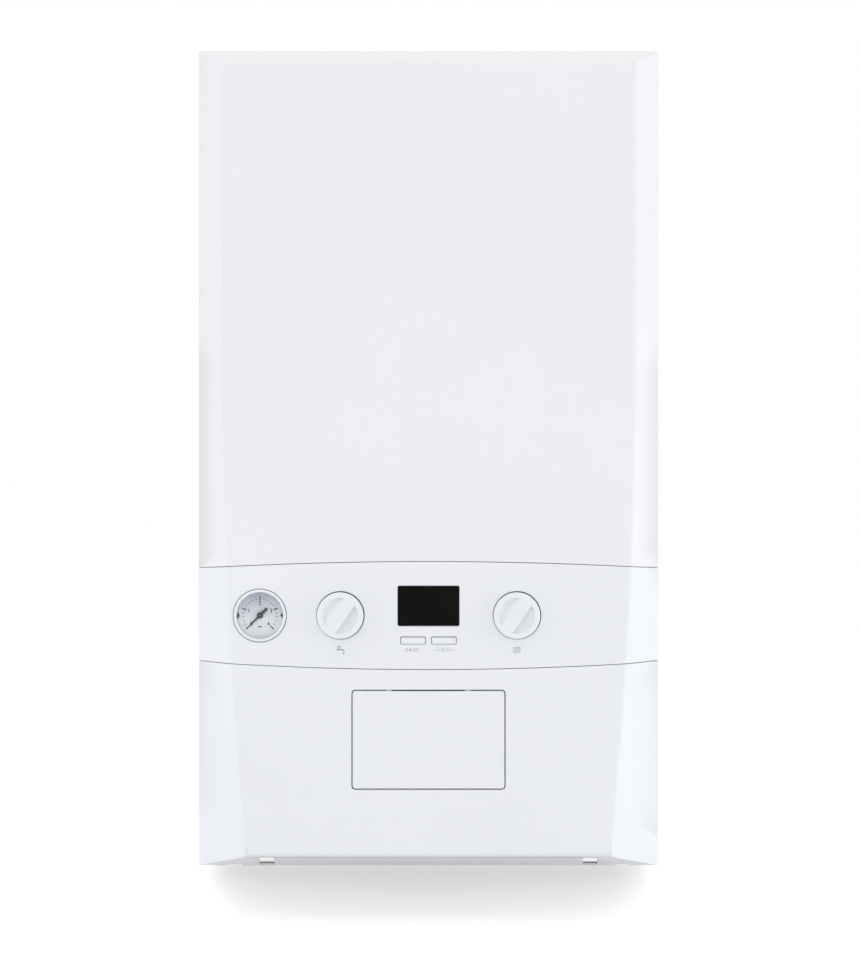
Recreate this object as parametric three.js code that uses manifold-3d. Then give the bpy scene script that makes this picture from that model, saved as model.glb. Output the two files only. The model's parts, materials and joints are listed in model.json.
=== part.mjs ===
// Wall-hung combi boiler: a white sheet-metal case, a tilting control box with its fascias,
// a sealed combustion chamber with its heat engine, and the water and gas parts beneath it.
// Millimetres, +Z up. The wall is the plane y = 0 and the front faces -Y.
// Heights in this file are measured from the foot of the case. The exported group is lowered
// so that its origin is the middle of the wall bracket's back face.
import * as THREE from "three";
import { mergeVertices } from "three/addons/utils/BufferGeometryUtils.js";
import Module from "manifold-3d";

const wasm = await Module();
wasm.setup();

// ---------------------------------------------------------------- driving dimensions

const CASE_WIDTH = 395;
const CASE_HEIGHT = 700;
const CASE_DEPTH = 278; // wall to the front of the knobs
const KNOB_STAND = 6; // how far the knobs stand out of the fascia
const BRACKET_Z = 640; // middle of the wall bracket above the foot of the case

const SHEET = 1.5; // chassis and side panels
const SKIN = 1.2; // front panel
const MOULDING = 2.5; // fascia and control housing walls
const FIT = 0.4; // gap between neighbouring sheets
const TOUCH = 0.3; // gap between pieces that seat on each other

// The front: a flat face with a bevel all round, deeper at the foot of the sides.
const FACE_Y = -(CASE_DEPTH - KNOB_STAND);
const BEVEL_DEPTH = 34;
const BEVEL_Y = FACE_Y + BEVEL_DEPTH;
const SKIRT = 12; // straight edge behind the bevel
const SKIRT_Y = BEVEL_Y + SKIRT;
const SHUT_GAP = 1.5;
const CASE_EDGE_Y = SKIRT_Y + SHUT_GAP; // front edge of the side panels
const FACE_HALF = 177.5; // half the face's width at the top
const TAPER_START = 450; // below this height the face narrows along an arc
const TAPER_RADIUS = 4300;
const TOP_BEVEL = 12.4;
const FOOT_BEVEL = 9.9;
const EDGE_RADIUS = 5;

// The two seams across the front bow away from each other.
const SEAM_GAP = 1;
const UPPER_SEAM = { z: 261.7, radius: -3400 };
const LOWER_SEAM = { z: 169.5, radius: 2900 };

// Chassis
const HALF_INSIDE = CASE_WIDTH / 2 - SHEET; // inner face of a side panel
const WEB_Y = -16.5; // front face of the back panel
const FLOOR_Z = 268; // underside of the combustion chamber's floor
const LANDING = 14; // width of the flange that the sealing panel closes on
const FLUE = { x: 0, y: -140, hole: 52.5 };

// Controls on the fascia, at their heights above the foot
const GAUGE = { x: -144, z: 215.6, radius: 22.4 };
const KNOBS = { x: 75.4, z: 215.6, radius: 19.9 };
const KNOB_TURN = 35; // degrees clockwise from upright, as the grips stand at rest
const WINDOW = { z: 223.8, width: 52.4, height: 34.1 };
const BUTTONS = { x: 13.2, z: 194.4, width: 21.6, height: 6.7 };
const TIMER = { z: 109.6, width: 131.5, height: 85.3 };
const HINGE = { y: -232, z: 6, pin: 2.5, boss: 4.4 };
const HOUSING = { half: 172, foot: 28, top: 238, front: -252, back: -186 };
const BOARD_Y = -256;

// Pipe connections, left to right, with the pipe each one takes
const CONNECTION_Y = -110;
const CONNECTIONS = [
  { name: "connection_ch_flow", x: -130, pipe: 22, stub: 46 },
  { name: "connection_dhw_outlet", x: -65, pipe: 15, stub: 46 },
  { name: "connection_gas", x: 0, pipe: 22, stub: 120 },
  { name: "connection_cold_inlet", x: 65, pipe: 15, stub: 46 },
  { name: "connection_ch_return", x: 130, pipe: 22, stub: 46 },
];
const RAIL = { z: 22, front: -140 };
const RELIEF = { x: 172, y: -100, z: 95 };
const TRAP = { x: -42, y: -152, radius: 20 };
const TRAP_OUTLET = { x: -74, y: -156, radius: 8 };

// Heat engine
const ENGINE = { left: -105, right: 65, front: -208, back: -98, foot: 333, top: 520.7 };
const FAN = { x: 118, y: -150, foot: 560, top: 605, tongue: 44, sweep: 14 };
const PORT = { flowY: -120, flowZ: 480, returnY: -160, returnZ: 352 };

// Holes in the chamber floor: x, y, radius
const FLOOR_HOLES = [
  [98, PORT.flowY, 11],
  [142, -105, 11],
  [172, -150, 9],
  [-60, -56, 8],
  [TRAP.x, TRAP.y, 11],
];

// ---------------------------------------------------------------- outlines

const rad = THREE.MathUtils.degToRad;

const rectangle = (u0, u1, v0, v1) => [
  [u0, v0],
  [u1, v0],
  [u1, v1],
  [u0, v1],
];

const circle = (u, v, radius, sides = 12) =>
  Array.from({ length: sides }, (_, i) => {
    const a = (2 * Math.PI * i) / sides;
    return [u + radius * Math.cos(a), v + radius * Math.sin(a)];
  });

// A rectangle with round corners, centred on u, v.
function roundRectangle(u, v, width, height, radius, steps = 2) {
  const corners = [
    [1, 1, 0],
    [-1, 1, 90],
    [-1, -1, 180],
    [1, -1, 270],
  ];
  return corners.flatMap(([su, sv, start]) =>
    Array.from({ length: steps + 1 }, (_, i) => {
      const a = rad(start + (90 * i) / steps);
      return [
        u + su * (width / 2 - radius) + radius * Math.cos(a),
        v + sv * (height / 2 - radius) + radius * Math.sin(a),
      ];
    }),
  );
}

// The outline moved inwards by a distance on every side (outwards if it is negative).
function inset(outline, distance) {
  const count = outline.length;
  const edges = outline.map(([u, v], i) => {
    const [nu, nv] = outline[(i + 1) % count];
    const length = Math.hypot(nu - u, nv - v);
    const du = (nu - u) / length;
    const dv = (nv - v) / length;
    return { u: u - dv * distance, v: v + du * distance, du, dv };
  });
  return edges.map((edge, i) => {
    const before = edges[(i + count - 1) % count];
    const turn = before.du * edge.dv - before.dv * edge.du;
    if (Math.abs(turn) < 1e-6) return [edge.u, edge.v];
    const along = ((edge.u - before.u) * edge.dv - (edge.v - before.v) * edge.du) / turn;
    return [before.u + before.du * along, before.v + before.dv * along];
  });
}

// An arc that rounds the corner between two straight sides.
function rounded(before, corner, after, radius, steps = 2) {
  const from = new THREE.Vector2(before[0] - corner[0], before[1] - corner[1]).normalize();
  const to = new THREE.Vector2(after[0] - corner[0], after[1] - corner[1]).normalize();
  const half = Math.acos(THREE.MathUtils.clamp(from.dot(to), -1, 1)) / 2;
  const tangent = radius / Math.tan(half);
  const middle = from.clone().add(to).normalize().multiplyScalar(radius / Math.sin(half));
  const start = from.multiplyScalar(tangent).sub(middle);
  const end = to.multiplyScalar(tangent).sub(middle);
  const sweep = Math.atan2(start.cross(end), start.dot(end));
  return Array.from({ length: steps + 1 }, (_, i) => {
    const point = start.clone().rotateAround(new THREE.Vector2(), (sweep * i) / steps);
    return [corner[0] + middle.x + point.x, corner[1] + middle.y + point.y];
  });
}

// ---------------------------------------------------------------- solids

// How an outline's u, v and its depth lie in space, for each axis that it can be pushed along.
const PLACES = {
  x: new THREE.Matrix4().set(0, 0, 1, 0, 1, 0, 0, 0, 0, 1, 0, 0, 0, 0, 0, 1),
  y: new THREE.Matrix4().set(1, 0, 0, 0, 0, 0, -1, 0, 0, 1, 0, 0, 0, 0, 0, 1),
  z: new THREE.Matrix4(),
};

function solidOf(geometry) {
  const bare = geometry.clone();
  bare.deleteAttribute("normal");
  bare.deleteAttribute("uv");
  const merged = mergeVertices(bare, 1e-3);
  const corners = merged.index.array;
  const kept = [];
  for (let i = 0; i < corners.length; i += 3) {
    const [a, b, c] = corners.slice(i, i + 3);
    if (a !== b && b !== c && c !== a) kept.push(a, b, c);
  }
  return new wasm.Manifold(
    new wasm.Mesh({
      numProp: 3,
      vertProperties: merged.attributes.position.array,
      triVerts: new Uint32Array(kept),
    }),
  );
}

const join = (first, ...others) => others.reduce((a, b) => a.add(b), first);
const cut = (first, ...others) => others.reduce((a, b) => a.subtract(b), first);
const common = (first, ...others) => others.reduce((a, b) => a.intersect(b), first);

// An outline pushed along an axis: u, v are x, y along z; x, z along y; and y, z along x.
function prism(axis, outline, from, to) {
  const shape = new THREE.Shape(outline.map(([u, v]) => new THREE.Vector2(u, v)));
  const geometry = new THREE.ExtrudeGeometry(shape, { depth: to - from, bevelEnabled: false });
  geometry.translate(0, 0, axis === "y" ? -to : from);
  return solidOf(geometry.applyMatrix4(PLACES[axis]));
}

const box = (x0, x1, y0, y1, z0, z1) =>
  solidOf(
    new THREE.BoxGeometry(x1 - x0, y1 - y0, z1 - z0).translate(
      (x0 + x1) / 2,
      (y0 + y1) / 2,
      (z0 + z1) / 2,
    ),
  );

const rod = (axis, u, v, radius, from, to, sides) =>
  prism(axis, circle(u, v, radius, sides), from, to);

// A profile of [radius, height] points turned about a line along z or y through u, v.
// The profile runs with the material on its left, so the faces point out.
function turned(axis, u, v, profile, sides = 16) {
  const points = profile.map(([r, h]) => new THREE.Vector2(r, h));
  const geometry = new THREE.LatheGeometry(points, sides);
  if (axis === "z") geometry.rotateX(Math.PI / 2).translate(u, v, 0);
  else geometry.translate(u, 0, v);
  return solidOf(geometry);
}

// A skin over outlines with equal numbers of points, closed at both ends.
function loft(axis, levels) {
  const count = levels[0].outline.length;
  const positions = levels.flatMap(({ at, outline }) =>
    outline.flatMap(([u, v]) => [u, v, axis === "y" ? -at : at]),
  );
  const faces = [];
  for (let row = 0; row + 1 < levels.length; row++) {
    for (let i = 0; i < count; i++) {
      const a = row * count + i;
      const b = row * count + ((i + 1) % count);
      faces.push(a, b, b + count, a, b + count, a + count);
    }
  }
  const cap = (row, flip) => {
    const points = levels[row].outline.map(([u, v]) => new THREE.Vector2(u, v));
    for (const [a, b, c] of THREE.ShapeUtils.triangulateShape(points, [])) {
      faces.push(row * count + a, row * count + (flip ? c : b), row * count + (flip ? b : c));
    }
  };
  cap(0, true);
  cap(levels.length - 1, false);
  const geometry = new THREE.BufferGeometry();
  geometry.setAttribute("position", new THREE.Float32BufferAttribute(positions, 3));
  geometry.setIndex(faces);
  return solidOf(geometry.applyMatrix4(PLACES[axis]));
}

// A pipe's route: straight runs joined by round bends, sampled only where it turns.
class Route extends THREE.Curve {
  constructor(points, bend, steps = 2) {
    super();
    const at = points.map((p) => new THREE.Vector3(...p));
    this.samples = [at[0]];
    for (let i = 1; i + 1 < at.length; i++) {
      const back = at[i - 1].clone().sub(at[i]).normalize();
      const ahead = at[i + 1].clone().sub(at[i]).normalize();
      const half = back.angleTo(ahead) / 2;
      const start = at[i].clone().addScaledVector(back, bend / Math.tan(half));
      const end = at[i].clone().addScaledVector(ahead, bend / Math.tan(half));
      const centre = at[i].clone().addScaledVector(
        back.clone().add(ahead).normalize(),
        bend / Math.sin(half),
      );
      const normal = start.clone().sub(centre).cross(end.clone().sub(centre)).normalize();
      for (let k = 0; k <= steps; k++) {
        const turn = ((Math.PI - 2 * half) * k) / steps;
        const arm = start.clone().sub(centre).applyAxisAngle(normal, turn);
        this.samples.push(centre.clone().add(arm));
      }
    }
    this.samples.push(at[at.length - 1]);
  }
  getPoint(t) {
    const last = this.samples.length - 1;
    const i = Math.min(Math.floor(t * last), last - 1);
    return this.samples[i].clone().lerp(this.samples[i + 1], t * last - i);
  }
  getPointAt(u) {
    return this.getPoint(u);
  }
  getSpacedPoints() {
    return this.samples;
  }
  getTangentAt(u) {
    const last = this.samples.length - 1;
    const i = Math.round(u * last);
    const before = this.samples[Math.max(i - 1, 0)];
    const after = this.samples[Math.min(i + 1, last)];
    return after.clone().sub(before).normalize();
  }
}

function pipe(points, bend, radius, sides = 8) {
  const route = new Route(points, bend);
  const section = new THREE.Shape(circle(0, 0, radius, sides).map(([u, v]) => new THREE.Vector2(u, v)));
  const geometry = new THREE.ExtrudeGeometry(section, {
    extrudePath: route,
    steps: route.samples.length - 1,
    bevelEnabled: false,
  });
  return solidOf(geometry);
}

// ---------------------------------------------------------------- materials and meshes

const MATERIALS = {
  whitePaint: { color: 0xeceaf0, roughness: 0.35, metalness: 0 },
  whiteMoulding: { color: 0xe8ebf0, roughness: 0.4, metalness: 0 },
  galvanised: { color: 0xa9adb0, roughness: 0.5, metalness: 0.8 },
  castAluminium: { color: 0xb4b6b8, roughness: 0.6, metalness: 0.8 },
  stainless: { color: 0xc2c4c6, roughness: 0.3, metalness: 0.9 },
  copper: { color: 0xb87449, roughness: 0.35, metalness: 0.9 },
  brass: { color: 0xc0a050, roughness: 0.35, metalness: 0.9 },
  blackMoulding: { color: 0x24262a, roughness: 0.5, metalness: 0 },
  greyMoulding: { color: 0x5c6066, roughness: 0.55, metalness: 0 },
  vesselPaint: { color: 0x8e959c, roughness: 0.5, metalness: 0.1 },
  foam: { color: 0x2b2c2e, roughness: 0.95, metalness: 0 },
  rubber: { color: 0x1c1c1e, roughness: 0.85, metalness: 0 },
  circuit: { color: 0x1f6b45, roughness: 0.5, metalness: 0 },
  darkWindow: { color: 0x0a0b06, roughness: 0.15, metalness: 0 },
  clearWindow: { color: 0xe4ecf0, roughness: 0.05, metalness: 0, transparent: true, opacity: 0.3 },
  redMoulding: { color: 0xb3262a, roughness: 0.4, metalness: 0 },
  ceramic: { color: 0xf0ede4, roughness: 0.4, metalness: 0 },
};

function piece(name, solid, material, place = [0, 0, 0]) {
  const found = solid.asOriginal().simplify(0.02).getMesh();
  const geometry = new THREE.BufferGeometry();
  geometry.setAttribute("position", new THREE.BufferAttribute(found.vertProperties, 3));
  geometry.setIndex(new THREE.BufferAttribute(found.triVerts, 1));
  geometry.computeVertexNormals();
  const mesh = new THREE.Mesh(geometry, new THREE.MeshStandardMaterial(MATERIALS[material]));
  mesh.name = name;
  mesh.position.set(...place);
  return mesh;
}

// The same piece on the other side of the case.
function mirrored(name, mesh) {
  const twin = mesh.clone();
  twin.name = name;
  twin.scale.x = -1;
  return twin;
}

function assembly(...members) {
  const group = new THREE.Group();
  group.add(...members);
  return group;
}

// ---------------------------------------------------------------- the bevelled front

// Half the width of the flat face at a height.
function faceHalf(z) {
  const below = Math.max(TAPER_START - z, 0);
  return FACE_HALF - TAPER_RADIUS + Math.sqrt(TAPER_RADIUS ** 2 - below ** 2);
}

// The space that the whole front takes up, from its face back to the skirt's edge,
// drawn in by the thickness of a wall. Drawn in, it runs out at the back.
function frontSpace(wall) {
  const back = wall ? SKIRT_Y + 2 * MOULDING : SKIRT_Y;
  const radius = EDGE_RADIUS - wall;
  const past = 5;
  const plan = (z) => {
    const half = CASE_WIDTH / 2;
    const face = faceHalf(z);
    const sharp = inset(
      [
        [half, back],
        [-half, back],
        [-half, BEVEL_Y],
        [-face, FACE_Y],
        [face, FACE_Y],
        [half, BEVEL_Y],
      ],
      wall,
    );
    return [
      sharp[0],
      sharp[1],
      sharp[2],
      ...rounded(sharp[2], sharp[3], sharp[4], radius),
      ...rounded(sharp[3], sharp[4], sharp[5], radius),
      sharp[5],
    ];
  };
  const heights = [-past];
  for (let z = 0; z <= TAPER_START; z += 75) heights.push(z);
  heights.push(CASE_HEIGHT + past);
  const lengthwise = loft("z", heights.map((z) => ({ at: z, outline: plan(z) })));
  const side = inset(
    [
      [back, 0],
      [back, CASE_HEIGHT],
      [BEVEL_Y, CASE_HEIGHT],
      [FACE_Y, CASE_HEIGHT - TOP_BEVEL],
      [FACE_Y, FOOT_BEVEL],
      [BEVEL_Y, 0],
    ],
    wall,
  );
  const profile = [
    side[0],
    side[1],
    side[2],
    ...rounded(side[2], side[3], side[4], radius),
    ...rounded(side[3], side[4], side[5], radius),
    side[5],
  ];
  return common(lengthwise, prism("x", profile, -CASE_WIDTH, CASE_WIDTH));
}

// Points along a seam from left to right, moved up by a distance.
function seamLine({ z, radius }, up) {
  const reach = CASE_WIDTH / 2 + 10;
  const steps = 8;
  return Array.from({ length: steps + 1 }, (_, i) => {
    const x = -reach + (2 * reach * i) / steps;
    const bow = Math.abs(radius) - Math.sqrt(radius ** 2 - x ** 2);
    return [x, z + Math.sign(radius) * bow + up];
  });
}

// Everything between two lines that run across the front.
const between = (lower, upper) => prism("y", [...lower, ...upper.toReversed()], FACE_Y - 20, 0);

const levelLine = (z) => [
  [-CASE_WIDTH, z],
  [CASE_WIDTH, z],
];

// A shell between two lines, whose walls along the lines are cut short behind the face.
function frontShell(wall, lower, upper, innerLower, innerUpper, flange) {
  const inside = frontSpace(wall);
  const shell = cut(
    common(frontSpace(0), between(lower, upper)),
    common(inside, between(innerLower, innerUpper)),
  );
  const behind = box(-CASE_WIDTH, CASE_WIDTH, FACE_Y + flange, 0, -10, CASE_HEIGHT + 10);
  return cut(shell, common(inside, behind));
}

function frontPanel() {
  const half = SEAM_GAP / 2;
  const shell = frontShell(
    SKIN,
    seamLine(UPPER_SEAM, half),
    levelLine(CASE_HEIGHT + 10),
    seamLine(UPPER_SEAM, half + SKIN),
    levelLine(CASE_HEIGHT + 10),
    16,
  );
  return assembly(piece("front_panel", shell, "whitePaint"));
}

// ---------------------------------------------------------------- chassis

function wallBracket() {
  const reach = WEB_Y - TOUCH - 2;
  let plate = box(-150, 150, -2, 0, BRACKET_Z - 23, BRACKET_Z + 23);
  for (const x of [-100, 100]) {
    const tongue = box(x - 15, x + 15, reach, -1, BRACKET_Z + 6, BRACKET_Z + 8);
    const lip = box(x - 15, x + 15, reach, reach + 2, BRACKET_Z + 6, BRACKET_Z + 20);
    plate = join(plate, tongue, lip);
  }
  for (const x of [-135, -60, 60, 135]) {
    plate = cut(plate, rod("y", x, BRACKET_Z - 10, 4, -5, 5, 8));
  }
  return piece("wall_bracket", plate, "galvanised");
}

// A tray pressed from sheet, open to the wall, with slots for the bracket's hooks.
function backPanel() {
  const half = HALF_INSIDE - FIT;
  const back = WEB_Y + SHEET;
  let tray = cut(
    box(-half, half, WEB_Y, 0, 3, CASE_HEIGHT - 3),
    box(-half + SHEET, half - SHEET, back, 1, 3 + SHEET, CASE_HEIGHT - 3 - SHEET),
  );
  for (const x of [-100, 100]) {
    tray = cut(tray, box(x - 18, x + 18, WEB_Y - 1, back + 1, BRACKET_Z - 12, BRACKET_Z + 8 + TOUCH));
  }
  // Swages that stiffen the web: raised towards the wall, hollow from the front.
  const swage = { half: 140, width: 18, depth: 5 };
  for (const z of [150, 320, 560]) {
    const outline = roundRectangle(0, z, 2 * swage.half, swage.width, swage.width / 2 - 0.5);
    const raised = prism("y", outline, WEB_Y, back + swage.depth);
    const hollow = prism("y", inset(outline, SHEET), WEB_Y - 1, back + swage.depth - SHEET);
    tray = cut(join(tray, raised), hollow);
  }
  return piece("back_panel", tray, "galvanised");
}

function sidePanel() {
  const outer = CASE_WIDTH / 2;
  const wall = box(HALF_INSIDE, outer, CASE_EDGE_Y, 0, 0, CASE_HEIGHT);
  const flange = box(
    HALF_INSIDE - LANDING,
    HALF_INSIDE + SHEET / 2,
    CASE_EDGE_Y,
    CASE_EDGE_Y + SHEET,
    45,
    CASE_HEIGHT - SHEET - TOUCH,
  );
  const foot = box(HALF_INSIDE - 12, HALF_INSIDE + SHEET / 2, -180, -5, 0, SHEET);
  return piece("side_panel_right", join(wall, flange, foot), "whitePaint");
}

function topPanel() {
  const half = HALF_INSIDE - FIT;
  const landing = HALF_INSIDE - LANDING - FIT;
  const under = CASE_HEIGHT - SHEET;
  const sheet = box(-half, half, CASE_EDGE_Y, 0, under, CASE_HEIGHT);
  const flange = box(-landing, landing, CASE_EDGE_Y, CASE_EDGE_Y + SHEET, under - LANDING, CASE_HEIGHT - 0.5);
  const hole = rod("z", FLUE.x, FLUE.y, FLUE.hole + 0.5, under - 5, CASE_HEIGHT + 5, 16);
  return piece("top_panel", cut(join(sheet, flange), hole), "whitePaint");
}

function chamberFloor() {
  const half = HALF_INSIDE - FIT;
  const landing = HALF_INSIDE - LANDING - FIT;
  const top = FLOOR_Z + SHEET;
  let floor = join(
    box(-half, half, CASE_EDGE_Y + SHEET + TOUCH, WEB_Y - TOUCH, FLOOR_Z, top),
    box(-landing, landing, CASE_EDGE_Y, CASE_EDGE_Y + 5, FLOOR_Z, top),
    box(-landing, landing, CASE_EDGE_Y, CASE_EDGE_Y + SHEET, FLOOR_Z, top + LANDING),
  );
  for (const [x, y, radius] of FLOOR_HOLES) {
    floor = cut(floor, rod("z", x, y, radius, FLOOR_Z - 5, top + 5, 8));
  }
  return piece("chamber_floor", floor, "galvanised");
}

// The sheet that carries the pipe connections.
function pipeRail() {
  const half = HALF_INSIDE - FIT;
  let rail = join(
    box(-half, half, RAIL.front, WEB_Y - TOUCH, RAIL.z, RAIL.z + 2),
    box(-half, half, RAIL.front, RAIL.front + 2, RAIL.z - 14, RAIL.z + 2),
  );
  for (const { x } of CONNECTIONS) {
    rail = cut(rail, rod("z", x, CONNECTION_Y, 13 + 2 * TOUCH, 0, 40, 8));
  }
  rail = cut(rail, rod("z", RELIEF.x, RELIEF.y, 7.9 + TOUCH, 0, 40, 10));
  return piece("pipe_rail", rail, "galvanised");
}

// A strap on the side panel, with the pin that the control box swings on.
function hingeBracket() {
  const inner = 192;
  const nose = circle(HINGE.y, HINGE.z, 5, 12);
  const strap = join(
    prism("x", rectangle(HINGE.y, -184, 1, 11), inner, inner + 1.8),
    prism("x", nose, inner, inner + 1.8),
    prism("x", rectangle(-216, -184, 1, 40), inner, inner + 1.8),
    box(inner, HALF_INSIDE - TOUCH, -212, -188, 4, 36),
  );
  const pin = prism("x", circle(HINGE.y, HINGE.z, HINGE.pin, 12), inner - 9, inner + 1);
  return piece("hinge_bracket_right", join(strap, pin), "galvanised");
}

// The concentric seat on top of the case: flue gas leaves inside, air comes in round it.
function flueCollar() {
  const top = CASE_HEIGHT + 6;
  const outer = turned("z", FLUE.x, FLUE.y, [
    [50, CASE_HEIGHT - 8],
    [52, CASE_HEIGHT - 8],
    [52, CASE_HEIGHT + TOUCH],
    [64, CASE_HEIGHT + TOUCH],
    [64, CASE_HEIGHT + 3],
    [52, CASE_HEIGHT + 3],
    [52, top],
    [50, top],
    [50, CASE_HEIGHT - 8],
  ], 16);
  const inner = turned("z", FLUE.x, FLUE.y, [
    [29.5, 685],
    [33, 685],
    [33, top],
    [29.5, top],
    [29.5, 685],
  ], 16);
  let collar = join(outer, inner);
  for (const turn of [90, 210, 330]) {
    const spoke = new THREE.BoxGeometry(20, 3, 6)
      .translate(41.5, 0, CASE_HEIGHT - 5)
      .rotateZ(rad(turn))
      .translate(FLUE.x, FLUE.y, 0);
    collar = join(collar, solidOf(spoke));
  }
  return piece("flue_collar", collar, "greyMoulding");
}

function chassis() {
  const side = sidePanel();
  const bracket = hingeBracket();
  return assembly(
    wallBracket(),
    backPanel(),
    side,
    mirrored("side_panel_left", side),
    topPanel(),
    chamberFloor(),
    pipeRail(),
    bracket,
    mirrored("hinge_bracket_left", bracket),
    flueCollar(),
  );
}

// ---------------------------------------------------------------- sealing panel

// The inner cover of the combustion chamber, dished forward inside its sealing margin.
function sealingPanel() {
  const back = CASE_EDGE_Y - 4.5;
  const margin = { half: 191, low: 272, high: 697 };
  const middle = (margin.low + margin.high) / 2;
  const height = margin.high - margin.low;
  const frame = (inward, radius) =>
    roundRectangle(0, middle, 2 * (margin.half - inward), height - 2 * inward, radius);
  const dish = { depth: 9, border: 24, slope: 8 };
  const outside = loft("y", [
    { at: back - SHEET + 0.5, outline: frame(dish.border, 12) },
    { at: back - SHEET, outline: frame(dish.border, 12) },
    { at: back - SHEET - dish.depth, outline: frame(dish.border + dish.slope, 8) },
  ]);
  const hollow = loft("y", [
    { at: back + 1, outline: frame(dish.border + 0.7, 12) },
    { at: back - dish.depth, outline: frame(dish.border + dish.slope + 0.7, 8) },
  ]);
  const sheet = prism("y", frame(0, 6), back - SHEET, back);
  const glass = { x: -20, z: 490, radius: 12 };
  const seat = rod("y", glass.x, glass.z, glass.radius + 4, back - SHEET - dish.depth - 1.5, back - dish.depth - 0.5, 12);
  let cover = cut(join(sheet, outside), hollow);
  cover = cut(join(cover, seat), rod("y", glass.x, glass.z, glass.radius + TOUCH, back - 30, back + 5, 16));
  for (const x of [-184, 184]) {
    for (const z of [300, 668]) {
      cover = join(cover, rod("y", x, z, 5.5, back - SHEET - 4, back - SHEET + 0.5, 6));
    }
  }
  const gasket = cut(
    prism("y", frame(2, 6), back + TOUCH, CASE_EDGE_Y - TOUCH),
    prism("y", frame(10, 6), back - 1, CASE_EDGE_Y + 1),
  );
  const pane = rod("y", glass.x, glass.z, glass.radius, back - SHEET - dish.depth - 1, back - dish.depth - 0.5, 16);
  return assembly(
    piece("sealing_panel", cover, "galvanised"),
    piece("chamber_gasket", gasket, "foam"),
    piece("sight_glass", pane, "clearWindow"),
  );
}

// ---------------------------------------------------------------- control box

function controlFascia() {
  const half = SEAM_GAP / 2;
  let fascia = frontShell(
    MOULDING,
    seamLine(LOWER_SEAM, half),
    seamLine(UPPER_SEAM, -half),
    seamLine(LOWER_SEAM, half + MOULDING),
    seamLine(UPPER_SEAM, -half - MOULDING),
    16,
  );
  const wallBack = FACE_Y + MOULDING;
  const holes = [
    { outline: circle(GAUGE.x, GAUGE.z, GAUGE.radius + 0.5, 18), collar: 0 },
    { outline: circle(-KNOBS.x, KNOBS.z, KNOBS.radius + 0.6, 18), collar: 6 },
    { outline: circle(KNOBS.x, KNOBS.z, KNOBS.radius + 0.6, 18), collar: 6 },
    { outline: roundRectangle(0, WINDOW.z, WINDOW.width, WINDOW.height, 1.2), collar: 4 },
    { outline: roundRectangle(-BUTTONS.x, BUTTONS.z, BUTTONS.width, BUTTONS.height, 1.2, 1), collar: 0 },
    { outline: roundRectangle(BUTTONS.x, BUTTONS.z, BUTTONS.width, BUTTONS.height, 1.2, 1), collar: 0 },
  ];
  for (const { outline, collar } of holes) {
    if (collar) {
      fascia = join(fascia, prism("y", inset(outline, -1.8), wallBack - 0.5, wallBack + collar));
    }
  }
  for (const { outline } of holes) {
    fascia = cut(fascia, prism("y", outline, FACE_Y - 5, wallBack + 10));
  }
  return piece("control_fascia", fascia, "whiteMoulding");
}

function lowerFascia() {
  const half = SEAM_GAP / 2;
  const wallBack = FACE_Y + MOULDING;
  let fascia = frontShell(
    MOULDING,
    levelLine(-10),
    seamLine(LOWER_SEAM, -half),
    levelLine(-10),
    seamLine(LOWER_SEAM, -half - MOULDING),
    16,
  );
  const opening = roundRectangle(0, TIMER.z, TIMER.width, TIMER.height, 3.3);
  const well = cut(
    prism("y", inset(opening, -2), wallBack - 0.5, wallBack + 13),
    prism("y", opening, wallBack - 1, wallBack + 14),
  );
  fascia = join(cut(fascia, prism("y", opening, FACE_Y - 5, wallBack + 5)), well);
  for (const side of [-1, 1]) {
    const slot = 138.5 * side;
    const nick = 166 * side;
    const hinge = 189 * side;
    fascia = cut(
      fascia,
      box(slot - 6.3, slot + 6.3, FACE_Y + 3, BEVEL_Y, -5, 12), // screwdriver slot in the foot bevel
      box(nick - 6, nick + 6, BEVEL_Y - 6, SKIRT_Y + 1, -5, 1.5), // nick in the bottom edge
      box(hinge - 6, hinge + 6, BEVEL_Y - 1, SKIRT_Y + 1, -5, 6), // room for the hinge
    );
  }
  const corner = [
    [SKIRT_Y + 1, -1],
    [SKIRT_Y + 1, 5],
    [SKIRT_Y - 5, -1],
  ];
  return piece("lower_fascia", cut(fascia, prism("x", corner, -CASE_WIDTH, CASE_WIDTH)), "whiteMoulding");
}

// The plate that covers the timer's place, with the two clips that bridge its top gap.
function timerBlank() {
  const gap = 0.9;
  const plate = roundRectangle(0, TIMER.z, TIMER.width - 2 * gap, TIMER.height - 2 * gap, 2.5);
  const top = TIMER.z + TIMER.height / 2;
  let blank = cut(
    prism("y", plate, FACE_Y, FACE_Y + 8),
    prism("y", inset(plate, 2), FACE_Y + 2.2, FACE_Y + 9),
  );
  for (const x of [-33.6, 33.6]) {
    blank = join(blank, box(x - 2.1, x + 2.1, FACE_Y + 0.4, FACE_Y + 6, top - 3, top - 0.25));
  }
  return piece("timer_blank", blank, "whiteMoulding");
}

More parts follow.
